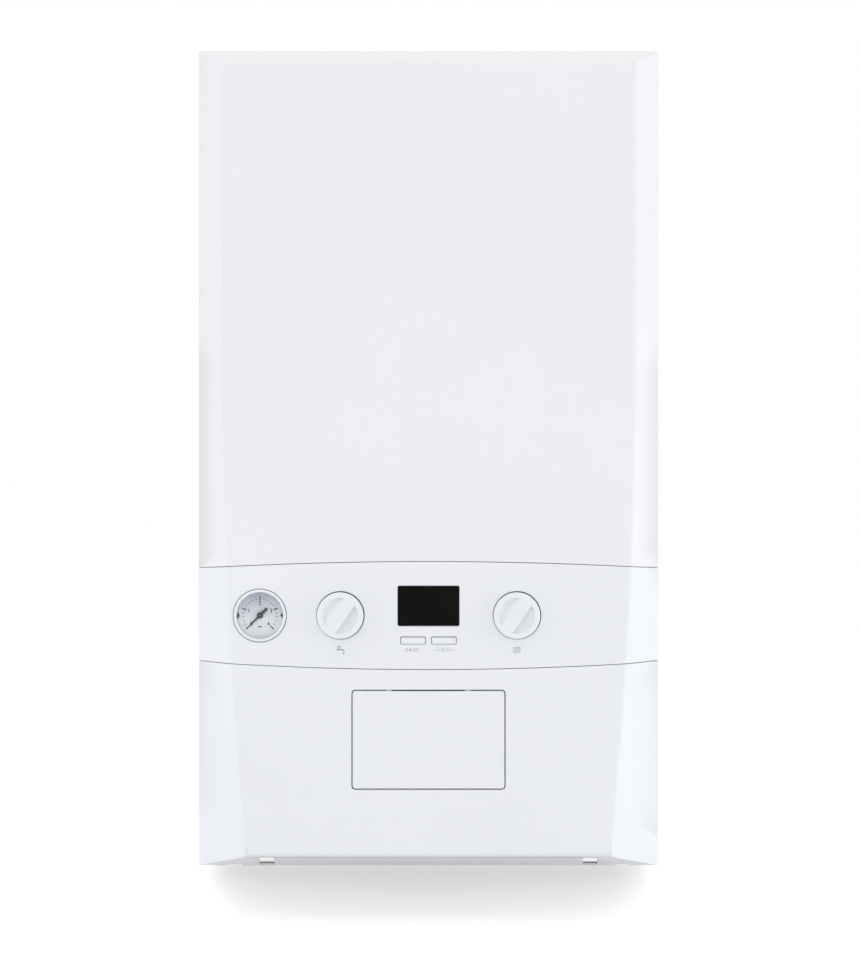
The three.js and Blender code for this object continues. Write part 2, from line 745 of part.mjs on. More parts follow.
// The tray behind both fascias, with arms down to the hinge pins.
function controlHousing() {
  const { half, foot, top, front, back } = HOUSING;
  let tray = cut(
    box(-half, half, front, back, foot, top),
    box(-half + MOULDING, half - MOULDING, front - 1, back - MOULDING, foot + MOULDING, top - MOULDING),
  );
  for (const side of [-1, 1]) {
    const inner = side * 184;
    const outer = side * 190.5;
    const span = (a, b) => [Math.min(a, b), Math.max(a, b)];
    const [from, to] = span(inner, outer);
    const [blockFrom, blockTo] = span(side * (half - 1), outer);
    const arm = prism("x", rectangle(HINGE.y - 4, HINGE.y + HINGE.boss, HINGE.z, 60), from, to);
    const boss = prism("x", circle(HINGE.y, HINGE.z, HINGE.boss, 12), from, to);
    const block = box(blockFrom, blockTo, HINGE.y - 4, HINGE.y + HINGE.boss, 46, 60);
    const screw = side * 138.5;
    const pillar = box(screw - 8, screw + 8, front - 6, front + 8, 17, foot + 1);
    tray = join(tray, arm, boss, block, pillar);
    tray = cut(
      tray,
      prism("x", circle(HINGE.y, HINGE.z, HINGE.pin + 0.35, 12), from - 2, to + 2),
      rod("z", screw, front + 0.5, 2.3, 10, foot - 1, 10),
    );
  }
  for (let i = -2; i <= 2; i++) {
    tray = cut(tray, box(i * 24 - 6, i * 24 + 6, back - 10, back + 5, 213, 217));
  }
  for (const x of [-140, 120]) {
    tray = join(tray, rod("z", x, back - 20, 12, foot - 7, foot + 1, 10));
    tray = cut(tray, rod("z", x, back - 20, 8, foot - 10, foot + 5, 10));
  }
  for (const x of [-120, 0, 120]) {
    tray = join(tray, rod("y", x, 100, 4, back - 15.2, back - 1, 6));
  }
  return piece("control_housing", tray, "blackMoulding");
}

function fasciaScrew(name, x) {
  const axis = HOUSING.front + 0.5;
  const screw = turned("z", x, axis, [
    [0, 12.2],
    [3, 12.2],
    [4.2, 13.2],
    [4.2, 16.7],
    [2, 16.7],
    [2, 26],
    [0, 26],
  ], 6);
  const cross = join(
    box(x - 2.4, x + 2.4, axis - 0.5, axis + 0.5, 11, 14),
    box(x - 0.5, x + 0.5, axis - 2.4, axis + 2.4, 11, 14),
  );
  return piece(name, cut(screw, cross), "stainless");
}

function mainBoard() {
  const back = HOUSING.back - 17;
  const front = back - 1.6;
  let board = box(-150, 150, front, back, 50, 150);
  const parts = [
    box(-142, -96, front - 32, front + 0.5, 94, 128), // transformer
    ...[-70, -46, -22].map((x) => box(x, x + 18, front - 16, front + 0.5, 108, 136)), // relays
    ...[10, 34].map((x) => rod("y", x, 122, 9, front - 26, front + 0.5, 10)), // capacitors
    ...[-136, -90, -44, 2, 48, 94].map((x) =>
      box(x, x + 36, front - 12, front + 0.5, 53, 65),
    ), // sockets along the foot
    box(60, 104, front - 3, front + 0.5, 96, 140),
    ...Array.from({ length: 5 }, (_, i) =>
      box(61 + i * 10, 64 + i * 10, front - 20, front + 0.5, 96, 140),
    ), // heat sink
    box(112, 142, front - 9, front + 0.5, 84, 100), // fuse holder
  ];
  return piece("main_board", join(board, ...parts), "circuit");
}

// The board behind the fascia, with the display, the two switches and the two hollow
// potentiometers that the knobs' stems reach into.
function displayBoard() {
  let board = box(-105, 105, BOARD_Y, BOARD_Y + 1.6, 180, 236);
  board = join(
    board,
    box(-24, 24, BOARD_Y - 12, BOARD_Y + 0.5, WINDOW.z - 15, WINDOW.z + 10),
    ...[-1, 1].map((side) =>
      box(side * BUTTONS.x - 3, side * BUTTONS.x + 3, BOARD_Y - 5, BOARD_Y + 0.5, 191.4, 197.4),
    ),
    ...[-1, 1].map((side) =>
      box(side * KNOBS.x - 9, side * KNOBS.x + 9, BOARD_Y + 1, BOARD_Y + 9, KNOBS.z - 10, KNOBS.z + 8),
    ),
    box(-60, -34, BOARD_Y + 1, BOARD_Y + 9, 184, 192),
    box(-8, 8, BOARD_Y + 1, BOARD_Y + 3, 196, 212),
  );
  for (const side of [-1, 1]) {
    board = cut(board, rod("y", side * KNOBS.x, KNOBS.z, 3.6, BOARD_Y - 5, BOARD_Y + 7, 16));
  }
  return piece("display_board", board, "circuit");
}

function displayLens() {
  const outline = roundRectangle(0, WINDOW.z, WINDOW.width - 0.6, WINDOW.height - 0.6, 1, 2);
  return piece("display_lens", prism("y", outline, FACE_Y + 0.3, FACE_Y + 3.3), "darkWindow");
}

// The pressure gauge, turned about its own axis: y = 0 is the fascia's face.
function gauge() {
  const place = [GAUGE.x, FACE_Y, GAUGE.z];
  const body = turned("y", 0, 0, [
    [0, 36],
    [4, 36],
    [4, 26],
    [19.5, 26],
    [19.5, 10],
    [GAUGE.radius, 10],
    [GAUGE.radius, -0.7],
    [GAUGE.radius - 0.8, -1.5],
    [20.2, -1.5],
    [19.6, -0.7],
    [19.6, 6],
    [1.5, 6],
    [1.5, 9],
    [0, 9],
  ].toReversed(), 18);
  const glass = turned("y", 0, 0, [
    [0, 0.8],
    [19.3, 0.8],
    [19.3, 2.3],
    [0, 2.3],
  ], 20);
  const tip = rad(225);
  const towards = (along, across) => [
    along * Math.sin(tip) + across * Math.cos(tip),
    along * Math.cos(tip) - across * Math.sin(tip),
  ];
  const blade = [
    towards(-8, 1.2),
    towards(-2, 0.9),
    towards(12.8, 0.2),
    towards(12.8, -0.2),
    towards(-2, -0.9),
    towards(-8, -1.2),
  ];
  const needle = join(
    prism("y", blade, 3.6, 4.6),
    rod("y", 0, 0, 2.5, 3.2, 5, 12),
    rod("y", 0, 0, 1.1, 4.5, 8, 6),
  );
  return [
    piece("gauge_case", body, "whiteMoulding", place),
    piece("gauge_glass", glass, "clearWindow", place),
    piece("gauge_needle", needle, "blackMoulding", place),
  ];
}

// A round knob with a bar across a dished face, drawn upright about its own axis.
function knob(name, x) {
  const { radius } = KNOBS;
  const front = -KNOB_STAND;
  const dish = { radius: 15.2, depth: 4.5 };
  const bar = 5.4;
  const body = turned("y", 0, 0, [
    [0, front],
    [radius - 1.6, front],
    [radius - 0.5, front + 0.4],
    [radius, front + 1.4],
    [radius, 6],
    [radius - 2, 6],
    [radius - 2, 2],
    [6, 2],
    [6, 11],
    [3, 11],
    [3, 21],
    [0, 21],
  ], 16);
  const bowl = Array.from({ length: 5 }, (_, i) => {
    const share = i / 4;
    return [dish.radius * Math.sin((share * Math.PI) / 2), front + dish.depth * Math.cos((share * Math.PI) / 2)];
  });
  const hollow = turned("y", 0, 0, [[0, front - 2], [dish.radius, front - 2], ...bowl.toReversed()], 16);
  const taper = loft("y", [
    { at: front + 8, outline: roundRectangle(0, 0, 2 * bar + 4, 60, 3) },
    { at: front - 3, outline: roundRectangle(0, 0, 2 * bar - 0.6, 60, 3) },
  ]);
  const mesh = piece(name, cut(body, cut(hollow, taper)), "whiteMoulding", [x, FACE_Y, KNOBS.z]);
  mesh.rotation.y = rad(KNOB_TURN);
  return mesh;
}

function button(name, x) {
  const cap = roundRectangle(0, 0, BUTTONS.width - 1, BUTTONS.height - 1, 0.9, 1);
  const solid = join(
    prism("y", cap, -0.8, 4),
    prism("y", inset(cap, -1.3), MOULDING + TOUCH, 4.2),
    rod("y", 0, 0, 1.5, 4, -FACE_Y + BOARD_Y - 6.8, 6),
  );
  return piece(name, solid, "whiteMoulding", [x, FACE_Y, BUTTONS.z]);
}

function controlBox() {
  return assembly(
    controlFascia(),
    lowerFascia(),
    timerBlank(),
    controlHousing(),
    fasciaScrew("fascia_screw_left", -138.5),
    fasciaScrew("fascia_screw_right", 138.5),
    mainBoard(),
    displayBoard(),
    displayLens(),
    ...gauge(),
    knob("dhw_knob", -KNOBS.x),
    knob("ch_knob", KNOBS.x),
    button("mode_button", -BUTTONS.x),
    button("restart_button", BUTTONS.x),
  );
}

// ---------------------------------------------------------------- heat engine

const engineOutline = (grow, radius = 14) =>
  roundRectangle(
    (ENGINE.left + ENGINE.right) / 2,
    (ENGINE.front + ENGINE.back) / 2,
    ENGINE.right - ENGINE.left + 2 * grow,
    ENGINE.back - ENGINE.front + 2 * grow,
    radius,
    1,
  );

// A casting with ribs round it, a combustion space at the top and flueways down to the sump.
function heatExchanger() {
  let block = prism("z", engineOutline(-5), ENGINE.foot, ENGINE.top);
  block = join(
    block,
    prism("z", engineOutline(0), ENGINE.foot, ENGINE.foot + 8),
    prism("z", engineOutline(0), ENGINE.top - 8, ENGINE.top),
  );
  for (let z = ENGINE.foot + 40; z < ENGINE.top - 20; z += 48) {
    block = join(block, prism("z", engineOutline(-1), z, z + 3));
  }
  for (const [y, z] of [
    [PORT.flowY, PORT.flowZ],
    [PORT.returnY, PORT.returnZ],
  ]) {
    block = join(block, rod("x", y, z, 14, ENGINE.right - 8, ENGINE.right + 9, 12));
  }
  for (const x of [-60, 20]) {
    block = join(block, rod("y", x, 494, 11, ENGINE.front, ENGINE.front + 10, 10));
  }
  const chamber = box(-88, 46, -190, -114, 455, ENGINE.top + 5);
  const flueways = Array.from({ length: 4 }, (_, i) =>
    box(-84, 42, -184 + i * 19, -175 + i * 19, ENGINE.foot - 5, 460),
  );
  const sockets = [-60, 20].map((x) => rod("y", x, 494, 2.2, ENGINE.front - 5, -180, 6));
  return piece("heat_exchanger", cut(block, chamber, ...flueways, ...sockets), "castAluminium");
}

// A half-round burner skin that hangs from the hood into the combustion space.
function burner() {
  const arc = (radius) =>
    Array.from({ length: 11 }, (_, i) => {
      const a = rad(180 + 18 * i);
      return [-152 + radius * Math.cos(a), 514 + radius * Math.sin(a)];
    });
  const skin = prism("x", [...arc(26), ...arc(24.5).toReversed()], -78, 36);
  const ends = [-78, 34.5].map((x) => prism("x", arc(26), x, x + 1.5));
  const brim = cut(
    box(-84, 42, -184, -120, 513.5, 515),
    box(-78, 36, -176.5, -127.5, 512, 516),
  );
  return piece("burner", join(skin, ...ends, brim), "stainless");
}

// The cast cover over the burner, with the duct that brings the mixture from the fan.
function burnerHood() {
  const foot = ENGINE.top + TOUCH;
  let hood = join(
    prism("z", engineOutline(0), foot, foot + 7),
    loft("z", [
      { at: foot + 5, outline: engineOutline(-10, 18) },
      { at: foot + 26, outline: engineOutline(-14, 18) },
      { at: foot + 36, outline: engineOutline(-26, 18) },
    ]),
    box(-52, 61.5, -207, -166, 550, 603),
    box(54, 61.5, -211, -162, 556, 607),
  );
  hood = cut(
    hood,
    box(-46, 62, -202, -171, 566, 598),
    box(-46, 30, -180, -171, 535, 570),
    box(-72, 32, -180, -128, foot - 5, 540),
  );
  for (const x of [-97, 57]) {
    for (const y of [ENGINE.front + 7, ENGINE.back - 7]) {
      hood = join(hood, rod("z", x, y, 4.5, foot + 6, foot + 12, 6));
    }
  }
  return piece("burner_hood", hood, "castAluminium");
}

// The fan's scroll in plan. It widens towards its outlet, which points left at the front.
function scroll() {
  const { x, y, tongue, sweep } = FAN;
  const turns = 310;
  const steps = 13;
  const spiral = Array.from({ length: steps + 1 }, (_, i) => {
    const share = i / steps;
    const a = rad(-90 + turns * share);
    const radius = tongue + sweep * (1 - share);
    return [x + radius * Math.cos(a), y + radius * Math.sin(a)];
  });
  return [[62, y - tongue - sweep], ...spiral, [62, y - 24]];
}

function fan() {
  const { x, y, foot, top } = FAN;
  const wall = 2.5;
  const outline = scroll();
  const cavity = inset(outline, wall);
  const first = cavity[0];
  const last = cavity[cavity.length - 1];
  const open = [[first[0] - 10, first[1]], ...cavity.slice(1, -1), [last[0] - 10, last[1]]];
  let housing = join(
    prism("z", outline, foot, top),
    prism("z", inset(outline, -3), 581, 585),
    rod("z", x, y, 34, top - 0.5, top + 3, 16),
  );
  housing = cut(
    housing,
    prism("z", open, foot + wall, top - wall),
    rod("z", x, y, 21, foot - 5, foot + 5, 16),
    rod("z", x, y, 6, top - 5, top + 5, 12),
    box(50, 61.8, -220, -150, foot - 5, top + 5),
  );
  return [
    piece("fan_housing", housing, "castAluminium"),
    fanImpeller(),
    fanMotor(),
  ];
}

// Backward-curved blades between a back plate and a ring, drawn about the fan's axis.
function fanImpeller() {
  const blades = 9;
  const height = 22;
  const foot = FAN.foot + 8;
  const at = (radius, turn) => [radius * Math.cos(rad(turn)), radius * Math.sin(rad(turn))];
  const radii = [21, 28, 36];
  const front = radii.map((radius, i) => at(radius, i * 17));
  const back = radii.map((radius, i) => at(radius, i * 17 + 3.5));
  const blade = [...front, ...back.toReversed()];
  let wheel = join(
    rod("z", 0, 0, 37, foot + height - 0.5, foot + height + 1.5, 16),
    cut(rod("z", 0, 0, 37, foot - 1.5, foot + 0.5, 16), rod("z", 0, 0, 22, foot - 5, foot + 5, 12)),
    turned("z", 0, 0, [
      [0, foot + 6],
      [5, foot + 6],
      [8, foot + height],
      [4, foot + height + 4],
      [4, FAN.top + 3],
      [0, FAN.top + 3],
    ], 8),
  );
  for (let i = 0; i < blades; i++) {
    const turn = rad((360 / blades) * i);
    const placed = blade.map(([u, v]) => [
      u * Math.cos(turn) - v * Math.sin(turn),
      u * Math.sin(turn) + v * Math.cos(turn),
    ]);
    wheel = join(wheel, prism("z", placed, foot, foot + height));
  }
  return piece("fan_impeller", wheel, "blackMoulding", [FAN.x, FAN.y, 0]);
}

function fanMotor() {
  const foot = FAN.top + 3 + TOUCH;
  let motor = turned("z", 0, 0, [
    [0, foot + 1],
    [8, foot + 1],
    [8, foot],
    [31, foot],
    [31, foot + 30],
    [27, foot + 36],
    [12, foot + 38],
    [12, foot + 42],
    [0, foot + 42],
  ], 14);
  for (let i = 0; i < 7; i++) {
    const rib = new THREE.BoxGeometry(4, 2.4, 24).translate(31.5, 0, foot + 15).rotateZ(rad((360 / 7) * i));
    motor = join(motor, solidOf(rib));
  }
  motor = join(motor, box(-12, 12, 28, 42, foot + 4, foot + 22));
  return piece("fan_motor", motor, "blackMoulding", [FAN.x, FAN.y, 0]);
}

// Air is drawn up through the throat, where the gas joins it from the side.
function venturi() {
  const top = FAN.foot - TOUCH;
  const tube = turned("z", FAN.x, FAN.y, [
    [20, top],
    [14, 512],
    [14, 496],
    [23, 470],
    [27, 470],
    [27, 474],
    [19, 498],
    [19, 515],
    [23, 548],
    [29, top - 5],
    [29, top],
    [20, top],
  ], 10);
  const port = rod("x", FAN.y, 502, 9, FAN.x + 17, FAN.x + 32, 10);
  return piece("venturi", join(tube, cut(port, rod("x", FAN.y, 502, 5, FAN.x + 16, FAN.x + 40, 10))), "blackMoulding");
}

function sump() {
  const left = -172;
  const right = ENGINE.right + 5;
  const { front, back } = ENGINE;
  const top = ENGINE.foot - TOUCH;
  const foot = 284;
  const level = (at, inward) => ({
    at,
    outline: roundRectangle(
      (left + right) / 2,
      (front + back) / 2,
      right - left - 2 * inward,
      back - front - 2 * inward,
      10,
      1,
    ),
  });
  let tray = loft("z", [level(foot, 10), level(foot + 16, 2), level(top - 5, 2)]);
  tray = join(tray, prism("z", level(top, 0).outline, top - 6, top));
  const hollow = loft("z", [level(foot + 3, 13), level(foot + 17, 5), level(top - 4, 5)]);
  tray = cut(tray, hollow, box(-92, 50, -196, -110, top - 10, top + 5), box(-164, -126, -142, -104, top - 10, top + 5));
  for (let x = -150; x <= 50; x += 50) {
    tray = join(tray, box(x, x + 3, front + 1, front + 4, foot + 18, top - 5));
  }
  const spigot = rod("z", TRAP.x, TRAP.y, 9, 262, foot + 1, 10);
  tray = cut(join(tray, spigot), rod("z", TRAP.x, TRAP.y, 6, 255, foot + 10, 10));
  return piece("sump", tray, "blackMoulding");
}

// The duct that carries flue gas from the sump up the left side and over to the collar.
function flueManifold() {
  const duct = roundRectangle(-145, -123, 54, 54, 10, 1);
  const over = roundRectangle(-69, -138, 206, 68, 16, 1);
  const outside = join(
    prism("z", duct, ENGINE.foot, 660),
    loft("z", [
      { at: 620, outline: inset(over, 6) },
      { at: 630, outline: over },
      { at: 662, outline: over },
      { at: 672, outline: inset(over, 8) },
    ]),
    rod("z", FLUE.x, FLUE.y, 33, 665, 684.7, 16),
    prism("z", inset(duct, -4), ENGINE.foot, ENGINE.foot + 5),
  );
  const inside = [
    prism("z", inset(duct, 3), ENGINE.foot - 5, 650),
    loft("z", [
      { at: 623, outline: inset(over, 9) },
      { at: 632, outline: inset(over, 3) },
      { at: 660, outline: inset(over, 3) },
      { at: 669, outline: inset(over, 10) },
    ]),
    rod("z", FLUE.x, FLUE.y, 29, 655, 690, 16),
  ];
  return piece("flue_manifold", cut(outside, ...inside), "greyMoulding");
}

// Two pressed shells with a rolled seam between them.
function expansionVessel() {
  const outline = roundRectangle(0, 500, 300, 330, 60, 2);
  const shell = [
    { at: -21, outline: inset(outline, 34) },
    { at: -27, outline: inset(outline, 14) },
    { at: -42, outline: inset(outline, 4) },
    { at: -70, outline: inset(outline, 4) },
    { at: -85, outline: inset(outline, 14) },
    { at: -91, outline: inset(outline, 34) },
  ];
  const stub = rod("z", -60, -56, 7, 334, 345, 8);
  return piece(
    "expansion_vessel",
    join(loft("y", shell), prism("y", outline, -59, -54), stub),
    "vesselPaint",
  );
}

function electrode(name, x) {
  const front = ENGINE.front - TOUCH;
  const body = turned("y", x, 494, [
    [0, front - 12],
    [2.5, front - 12],
    [4, front - 10],
    [4, front],
    [1.6, front],
    [1.6, -184],
    [0, -184],
  ], 8);
  const flange = prism("y", roundRectangle(x, 494, 20, 12, 4, 1), front - 2, front);
  return piece(name, join(body, flange), "ceramic");
}

function heatEngine() {
  return assembly(
    heatExchanger(),
    burner(),
    burnerHood(),
    ...fan(),
    venturi(),
    sump(),
    flueManifold(),
    expansionVessel(),
    electrode("ignition_electrode", -60),
    electrode("flame_electrode", 20),
  );
}

// ---------------------------------------------------------------- water and gas

// A pipe tail with its union nut, seated in the rail and open at its lower end.
function connection({ name, x, pipe: diameter, stub }) {
  const tail = diameter / 2;
  const bore = tail - 1.5;
  const body = turned("z", x, CONNECTION_Y, [
    [0, 30],
    [bore, 30],
    [bore, 1],
    [tail, 1],
    [tail, 17],
    [13, 17],
    [13, RAIL.z + 2 + TOUCH],
    [16, RAIL.z + 2 + TOUCH],
    [16, 29],
    [10, 29],
    [10, stub - TOUCH],
    [0, stub - TOUCH],
  ], 8);
  const nut = cut(
    prism("z", circle(x, CONNECTION_Y, tail + 5, 6), 5, 16),
    rod("z", x, CONNECTION_Y, tail - 1, 0, 30, 8),
  );
  return piece(name, join(body, nut), "brass");
}

// The left-hand water block: heating flow, the diverter's seat and the hot water outlet.
function flowManifold() {
  const y = CONNECTION_Y;
  const solid = join(
    rod("z", -130, y, 18, 46, 150, 10),
    rod("z", -65, y, 13, 46, 90, 10),
    rod("x", y, 78, 13, -132, -65, 8),
    ...[78, 116].map((z) => rod("y", -80, z, 9, y, -60.5, 8)),
    rod("x", y, 116, 9, -132, -80, 8),
    rod("z", -105, -78, 12, 108, 140, 10),
    box(-125, -93, -90, -70, 104, 118),
    box(-132, -100, y - 8, -82, 106, 116),
    rod("y", -122, 132, 8, y, -52, 8),
    rod("z", -122, -56, 8, 130, 150, 8),
    rod("z", -130, y, 22, 138, 150, 12),
  );
  return piece("flow_manifold", solid, "blackMoulding");
}

function diverterActuator() {
  const head = prism("z", roundRectangle(-130, CONNECTION_Y - 4, 42, 52, 6), 150 + TOUCH, 192);
  const cap = prism("z", roundRectangle(-130, CONNECTION_Y - 4, 34, 40, 5), 191, 200);
  const plug = box(-142, -118, CONNECTION_Y - 38, CONNECTION_Y - 29, 158, 172);
  return piece("diverter_actuator", join(head, cap, plug), "greyMoulding");
}

// Stacked plates, brazed together between two end plates.
function plateHeatExchanger() {
  const plates = 7;
  const front = -60;
  const back = -20;
  const step = (back - front) / (2 * plates);
  const edge = (z, sign) =>
    Array.from({ length: 2 * plates + 1 }, (_, i) => [
      front + step * i,
      z + sign * (i % 2 ? 1.6 : 0),
    ]);
  const outline = [...edge(132, -1).toReversed(), ...edge(62, 1)];
  const stack = prism("x", outline, -92, 92);
  const ends = [-60, -22].map((y) => prism("y", roundRectangle(0, 97, 186, 72, 8), y, y + 2));
  return piece("plate_heat_exchanger", join(stack, ...ends), "stainless");
}

// The right-hand water block: pump volute, return barrel, cold inlet and air vent.
function pumpHousing() {
  const y = CONNECTION_Y;
  const solid = join(
    rod("y", 115, 150, 40, -124, -90, 14),
    rod("y", 115, 150, 45, -124, -118, 14),
    rod("z", 130, y + 2, 16, 46, 130, 10),
    rod("z", 65, y, 12, 46, 90, 10),
    rod("x", y, 78, 12, 65, 130, 8),
    ...[78, 116].map((z) => rod("y", 80, z, 9, y, -60.5, 8)),
    rod("x", y + 4, 116, 9, 80, 128, 8),
    rod("x", RELIEF.y, RELIEF.z, 8, 130, RELIEF.x - 11.3, 8),
    rod("z", 142, -105, 12, 160, 196, 8),
    rod("z", 100, -104, 13, 180, 214, 8),
    rod("z", 100, -104, 8, 213, 222, 8),
  );
  return piece("pump_housing", solid, "blackMoulding");
}

function pumpMotor() {
  const back = -124 - TOUCH;
  let motor = turned("y", 115, 150, [
    [0, -178],
    [34, -178],
    [41, -172],
    [41, -136],
    [45, -133],
    [45, back],
    [0, back],
  ], 16);
  motor = join(motor, box(76, 100, -170, -140, 186, 200), rod("y", 115, 150, 12, -181, -177, 10));
  motor = cut(motor, box(108, 122, -185, -179.5, 149, 151));
  return piece("pump_motor", motor, "castAluminium");
}

function gasValve() {
  let valve = join(
    prism("y", roundRectangle(6, 152, 50, 64, 6), -144, -78),
    rod("z", 0, CONNECTION_Y, 15, 120, 130, 8),
    rod("y", -4, 138, 10, -156, -143, 12),
    rod("y", 18, 166, 8, -152, -143, 10),
    box(-14, 26, -140, -96, 183, 196), // igniter
    rod("z", 6, -118, 11, 195, 204, 8),
  );
  valve = cut(valve, box(-4.8, -3.2, -158, -154, 130, 146));
  return piece("gas_valve", valve, "castAluminium");
}

function reliefValve() {
  const { x, y, z } = RELIEF;
  const solid = join(
    rod("y", x, z, 11, -126, -88, 10),
    rod("z", x, y, 7.5, 1, z, 8),
    rod("z", x, y, 11, 30, 42, 6),
    rod("y", x, z, 5, -132, -125, 10),
  );
  return piece("relief_valve", cut(solid, rod("z", x, y, 5.5, -5, 24, 8)), "brass");
}

// A fluted cap that a quarter turn lifts off its seat.
function reliefKnob() {
  const flutes = 10;
  const outline = Array.from({ length: 2 * flutes }, (_, i) => {
    const a = (2 * Math.PI * i) / (2 * flutes);
    const radius = i % 2 ? 15 : 13.4;
    return [radius * Math.cos(a), radius * Math.sin(a)];
  });
  const cap = cut(
    join(prism("y", outline, -22, -4), prism("y", inset(outline, 2.5), -24, -20)),
    rod("y", 0, 0, 5 + FIT, -10, 0, 16),
  );
  return piece("relief_knob", cap, "redMoulding", [RELIEF.x, -123, RELIEF.z]);
}

// A bottle that holds the water seal, with its outlet bent down beside it.
function condensateTrap() {
  const { x, y, radius } = TRAP;
  const bottle = turned("z", x, y, [
    [0, 60],
    [radius - 1, 60],
    [radius + 2, 63],
    [radius + 2, 76],
    [radius, 78],
    [radius, 205],
    [radius - 4, 216],
    [8.5, 224],
    [8.5, 262 - TOUCH],
    [0, 262 - TOUCH],
  ], 10);
  const outlet = pipe(
    [
      [x - 8, y - 4, 190],
      [TRAP_OUTLET.x, TRAP_OUTLET.y, 190],
      [TRAP_OUTLET.x, TRAP_OUTLET.y, 1],
    ],
    12,
    TRAP_OUTLET.radius,
    8,
  );
  const bore = rod("z", TRAP_OUTLET.x, TRAP_OUTLET.y, TRAP_OUTLET.radius - 2, -5, 24, 8);
  return piece("condensate_trap", cut(join(bottle, outlet), bore), "whiteMoulding");
}

function pipes() {
  const flow = pipe(
    [
      [ENGINE.right + 9 + TOUCH, PORT.flowY, PORT.flowZ],
      [98, PORT.flowY, PORT.flowZ],
      [98, PORT.flowY, 245],
      [98, -78, 245],
      [-105, -78, 245],
      [-105, -78, 140 + TOUCH],
    ],
    15,
    9,
  );
  const back = pipe(
    [
      [142, -105, 196 + TOUCH],
      [142, -105, 300],
      [142, PORT.returnY, PORT.returnZ],
      [ENGINE.right + 9 + TOUCH, PORT.returnY, PORT.returnZ],
    ],
    16,
    9,
  );
  const gas = pipe(
    [
      [6, -118, 204 + TOUCH],
      [6, -118, 226],
      [6, -150, 226],
      [172, -150, 226],
      [172, -150, 502],
      [FAN.x + 32 + TOUCH, -150, 502],
    ],
    10,
    6.5,
  );
  const hose = pipe(
    [
      [-60, -56, 334 - TOUCH],
      [-60, -56, 180],
      [-122, -56, 180],
      [-122, -56, 150 + TOUCH],
    ],
    12,
    5,
  );
  return [
    piece("flow_pipe", flow, "copper"),
    piece("return_pipe", back, "copper"),
    piece("gas_pipe", gas, "copper"),
    piece("vessel_hose", hose, "rubber"),
  ];
}

function waterAndGas() {
  return assembly(
    ...CONNECTIONS.map(connection),
    flowManifold(),
    diverterActuator(),
    plateHeatExchanger(),
    pumpHousing(),
    pumpMotor(),
    gasValve(),
    reliefValve(),
    reliefKnob(),
    condensateTrap(),
    ...pipes(),
  );
}

// ---------------------------------------------------------------- the boiler

const boiler = assembly(chassis(), frontPanel(), sealingPanel(), controlBox(), heatEngine(), waterAndGas());
boiler.position.z = -BRACKET_Z;

export default boiler;
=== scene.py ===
"""A white wall-hung combi boiler on a plain pale studio floor.

Shapes are drawn in millimetres, with heights above the foot of the case, as the CAD source
draws them. piece() brings them into the row's frame, in metres.
"""

import json
from math import acos, atan2, cos, hypot, pi, radians, sin, sqrt, tan

import bmesh
import bpy
from mathutils import Matrix, Vector

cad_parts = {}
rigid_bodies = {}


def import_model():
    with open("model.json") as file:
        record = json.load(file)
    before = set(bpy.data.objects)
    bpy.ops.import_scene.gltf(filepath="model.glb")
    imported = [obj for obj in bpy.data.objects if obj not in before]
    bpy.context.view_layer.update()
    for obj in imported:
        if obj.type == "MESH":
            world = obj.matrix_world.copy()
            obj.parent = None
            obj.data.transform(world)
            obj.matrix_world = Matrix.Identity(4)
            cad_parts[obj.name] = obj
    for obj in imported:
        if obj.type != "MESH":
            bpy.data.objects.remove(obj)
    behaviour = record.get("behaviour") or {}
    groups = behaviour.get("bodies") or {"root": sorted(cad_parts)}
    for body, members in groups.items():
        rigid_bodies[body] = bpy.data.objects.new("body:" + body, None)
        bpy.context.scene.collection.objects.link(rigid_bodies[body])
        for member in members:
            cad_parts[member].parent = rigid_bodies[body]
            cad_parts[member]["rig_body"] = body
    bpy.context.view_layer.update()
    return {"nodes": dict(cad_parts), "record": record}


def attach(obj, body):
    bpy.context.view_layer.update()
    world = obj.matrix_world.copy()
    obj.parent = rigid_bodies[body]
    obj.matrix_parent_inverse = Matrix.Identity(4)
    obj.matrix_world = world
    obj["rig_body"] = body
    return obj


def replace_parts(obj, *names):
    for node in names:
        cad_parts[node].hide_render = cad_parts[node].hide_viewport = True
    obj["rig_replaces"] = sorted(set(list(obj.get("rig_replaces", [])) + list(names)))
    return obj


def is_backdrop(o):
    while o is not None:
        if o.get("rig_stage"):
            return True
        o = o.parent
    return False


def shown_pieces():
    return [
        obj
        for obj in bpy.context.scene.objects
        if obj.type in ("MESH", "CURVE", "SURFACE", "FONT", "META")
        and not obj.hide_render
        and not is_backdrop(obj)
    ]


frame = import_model()

MM = 0.001
BRACKET_Z = 640  # the frame's origin above the foot of the case

# ---------------------------------------------------------------- driving dimensions

CASE_WIDTH = 395
CASE_HEIGHT = 700
SKIN = 1.2  # front panel
MOULDING = 2.5  # fascia and control housing walls
TOUCH = 0.3
FACE_Y = -272
BEVEL_Y = -238
SKIRT_Y = -226
FACE_HALF = 177.5
TAPER_START = 450
TAPER_RADIUS = 4300
TOP_BEVEL = 12.4
FOOT_BEVEL = 9.9
EDGE_RADIUS = 5
SEAM_GAP = 0.5
UPPER_SEAM = (261.7, -3400)  # height on the centre line, radius
LOWER_SEAM = (169.5, 2900)
FLANGE = 16  # how far a seam's wall reaches behind the face

